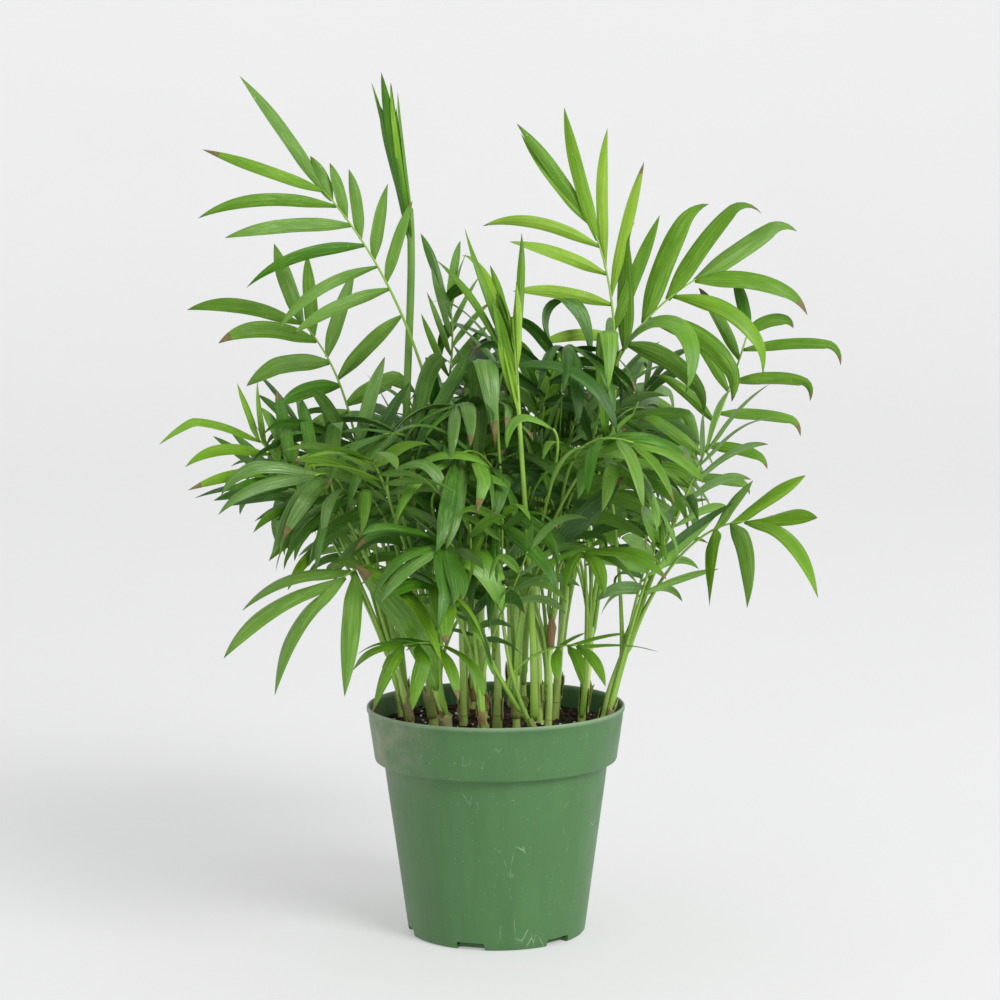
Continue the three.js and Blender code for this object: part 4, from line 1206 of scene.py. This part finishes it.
def growLeaflet(heap, frond, leaf, dice, slot, drySlot):
    twist = math.radians(dice(-1, 1) * frond.get("twist", leaflet["twist"]))
    fold = frond.get("fold", 1) * dice(0.6, 1.4)
    arch = leaflet["arch"] * dice(0.4, 1.6)
    luck = dice(0, 1)
    if "path" in leaf:
        stations = archedStations(leaf)
    else:
        stations = leafLine(leaf["onLine"], leaf["start"], leaf["up"], leaf["length"] * leaflet["short"],
                            leaf["droop"], leafRows, ownBends(dice, frond))
    body = frond.get("body", leaflet["body"])
    slim = frond.get("slim", 1) * leaflet["slim"]
    points = []
    for i, (point, along, top) in enumerate(stations[:-1]):
        share = i / leafRows
        across = along.cross(top)
        turn = twist * share ** 1.4
        over = across * math.cos(turn) + top * math.sin(turn)
        rise = top * math.cos(turn) - across * math.sin(turn)
        half = max(leaf["width"] * slim * leafBreadth(share, body), leaflet["least"]) / 2
        drop = math.radians(min(80, along4(leaflet["fold"], share) * fold))
        edge, fall = half * math.cos(drop), half * math.sin(drop)
        thick = mix(*leaflet["thick"], share)
        hump = rise * (half * arch - fall * 0.5)
        points += [point - over * edge - rise * fall, point - over * edge * 0.5 + hump, point,
                   point + over * edge * 0.5 + hump, point + over * edge - rise * fall, point - rise * thick]
    points.append(stations[-1][0])
    slots = [slot] * len(leafFaces)
    dry = frond.get("dryTips", leaflet["dryTips"])
    if luck < dry:
        dead = leafSides * (1 + int(luck / dry * leaflet["deadSteps"]))
        slots[-dead:] = [drySlot] * dead
    addShape(heap, points, leafFaces, slots, leafMaps, leafFolds)


# each tint is a blade, its shade and its veins; deal is how often a leaf is of each, by place in the list
kinds = {
    "grown": {
        "piece": "grown",
        "petiole": ("green_petiole", "#76a232", "#94bc4c"),
        "tints": {"leaf_bright_green": ("#74a124", "#60901c", "#9fc456"),
                  "leaf_mid_green": ("#649222", "#507e1a", "#8eb650"),
                  "leaf_deep_green": ("#4a7f16", "#3a6c12", "#78a742"),
                  "leaf_soft_green": ("#6c9638", "#5a862e", "#98ba66")},
        "deal": (0, 0, 1, 1, 1, 2, 3, 3),
        "stripes": (2, 0, 2, 1),  # round a closed spear
        "sheen": 0.26,
    },
    "young": {
        "piece": "young",
        "petiole": ("young_petiole", "#82ac38", "#98be4e"),
        "tints": {"leaf_young_green": ("#77a526", "#66951e", "#a3c464"),
                  "leaf_yellow_green": ("#8bb332", "#79a42a", "#b2ce74"),
                  "leaf_fresh_green": ("#65941f", "#53821a", "#94b85e")},
        "deal": (0, 0, 1, 2, 2),
        "stripes": (0, 2, 1, 2),
        "sheen": 0.24,
    },
    "old": {
        "piece": "inner",
        "petiole": ("shaded_petiole", "#76a436", "#98be4e"),
        "tints": {"leaf_dark_green": ("#4c7f1e", "#386716", "#84ad56"),
                  "leaf_shade_green": ("#376716", "#29550f", "#6f9a4c"),
                  "leaf_clear_green": ("#6b9e2a", "#578a22", "#9dc05c"),
                  "leaf_grey_green": ("#618c3a", "#4e782c", "#98b66e")},
        "deal": (0, 0, 0, 1, 2, 2, 3, 3),
        "sheen": 0.5,
    },
}


def growFrond(blades, ribs, frond, look):
    if "stalk" in frond:  # it stands free, in front of the others
        frond["line"] = curveThrough(*frond["stalk"], frond["tip"])
    growPetiole(ribs, frond, frond.get("sheath", 0))
    dice = makeDice(frond["seed"] + 7000)
    deal = look["deal"]
    own = deal[int(dice(0, len(deal)))]
    leaves = closedSpear(frond, dice) if "spear" in frond else frond["leaves"]
    for leaf in leaves:
        tint = own if dice(0, 1) < leaflet["ownGreen"] else deal[int(dice(0, len(deal)))]
        if "spear" in frond:
            tint = look["stripes"][blades["count"] // len(leafMaps) % len(look["stripes"])]
        growLeaflet(blades, frond, leaf, dice, tint, len(look["tints"]))


def growArched(blades, ribs, look):
    dice = makeDice(8800)
    flat = {"fold": 0.7, "twist": 12}
    for *points, width, across, tint in archedLeaves:
        path = curveThrough(*points)
        growPetiole(ribs, archedStalk(path[0](0), path[1](0)), 0)
        leaf = {"path": path, "across": across, "width": width}
        growLeaflet(blades, flat, leaf, dice, tint, len(look["tints"]))


dried, spearSheath = dryTip(), freshPetiole("spear_sheath", "#4c7a24", "#74a03a")
for kind, look in kinds.items():
    blades, ribs = newHeap(), newHeap()
    own = [f for f in grown if f["tint"] == kind]
    for frond in own:
        growFrond(blades, ribs, frond, look)
    if kind == "old":
        growArched(blades, ribs, look)
    name = look["piece"]
    greens = [palmLeaf(tint, look["sheen"], *codes) for tint, codes in look["tints"].items()]
    leaves = pieceOf(blades, f"leaflets_{name}", greens + [dried], "leafMap")
    stalk = pieceOf(ribs, f"petioles_{name}", [freshPetiole(*look["petiole"]), spearSheath])
    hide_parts(*sorted({f["node"] for f in own if f["node"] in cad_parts}))
    print(f"{name} fronds:", len(leaves.data.polygons) + len(stalk.data.polygons), "faces")

# Studio: floor, light and camera

studio = {
    # radius and height of the sweep's loops in metres, from the top of the wall inwards
    "sweep": [(3.8, 1.5), (3.75, 0.9), (3.6, 0.5), (3.35, 0.22), (3.0, 0.07), (2.6, 0.0), (1.0, 0.0)],
    "floor": "#c3c3c3",
    "floorShade": "#c0c0c0",
    "glow": 0.335,  # painted glow: the floor and backdrop give off light of their own, which lifts them and lightens the shadows on them
    "sky": ("#f4f5f7", 0.55),
    # place, what it points at, size and power of each light; the side light, low on the right, gives the
    # upright leaves their sheen
    "lights": {
        "key_light": ((2.4, -3.1, 2.9), (0, 0, 0.25), 2.1, 148),
        "fill_light": ((-1.6, -1.7, 1.2), (0, 0, 0.25), 1.8, 2),
        "side_light": ((2.0, -0.5, 0.9), (0, 0, 0.25), 0.9, 4),
        "backdrop_light": ((0, 1.3, 2.6), (0, 3.6, 0.5), 2.4, 10),
    },
}
camera = {
    "lens": 102.74,  # mm
    "sensor": 36,  # mm
    "near": 0.05,
    "place": (0.0031, -1.656, 0.442),
    "tilt": 83.58,  # degrees from straight down
    "roll": -0.27,
}


def makeSweep():  # a round floor that curves up into a low wall, so it closes every view
    (wide, high), *nearer = studio["sweep"]
    pickOnly()
    bpy.ops.mesh.primitive_circle_add(vertices=96, radius=wide, fill_type="NGON", location=(0, 0, high))
    sweep = bpy.context.object
    bpy.ops.object.mode_set(mode="EDIT")
    bpy.ops.mesh.select_all(action="SELECT")
    for radius, height in nearer:
        bpy.ops.mesh.inset(thickness=wide - radius)
        bpy.ops.transform.translate(value=(0, 0, height - high))
        wide, high = radius, height
    bpy.ops.object.mode_set(mode="OBJECT")
    bpy.ops.object.transform_apply(location=True)
    bpy.ops.object.shade_smooth()
    sweep.name = "studio_sweep"
    return sweep


def paintedStudioFloor():
    # matt emulsion: even pale grey with the faintest roller texture, and a painted glow of its own that lifts
    # the floor, the backdrop and the shadows on them
    material, tree, shader, place = newMaterial("matt_studio_paint_painted_glow", Roughness=0.9, IOR=1.4,
                                                Emission_Color=(1, 1, 1, 1), Emission_Strength=studio["glow"])
    roller = addNode(tree, "TexNoise", {"Vector": place, "Scale": every(333), "Detail": 2})
    dress(tree, shader, [studio["floor"], (roller, studio["floorShade"])])
    return material


def areaLight(name, place, aim, size, power):
    light = bpy.data.lights.new(name, "AREA")
    light.shape = "DISK"
    light.size = size
    light.energy = power
    lamp = bpy.data.objects.new(name, light)
    lamp.location = place
    lamp.rotation_euler = (Vector(aim) - Vector(place)).to_track_quat("-Z", "Y").to_euler()
    bpy.context.scene.collection.objects.link(lamp)


sweep = makeSweep()
sweep.data.materials.append(paintedStudioFloor())
for name, settings in studio["lights"].items():
    areaLight(name, *settings)
world = bpy.data.worlds.new("studio_sky")
world.use_nodes = True
sky = world.node_tree.nodes["Background"].inputs
sky["Color"].default_value = linearColour(studio["sky"][0])
sky["Strength"].default_value = studio["sky"][1]
bpy.context.scene.world = world
bpy.context.scene.view_settings.view_transform = "Standard"

view = bpy.data.cameras.new("camera")
view.lens = camera["lens"]
view.sensor_width = camera["sensor"]
view.clip_start = camera["near"]
eye = bpy.data.objects.new("camera", view)
tilt, roll = math.radians(camera["tilt"]), math.radians(camera["roll"])
eye.matrix_world = (Matrix.Translation(camera["place"]) @ Matrix.Rotation(tilt, 4, "X")
                    @ Matrix.Rotation(roll, 4, "Z"))
bpy.context.scene.collection.objects.link(eye)
bpy.context.scene.camera = eye
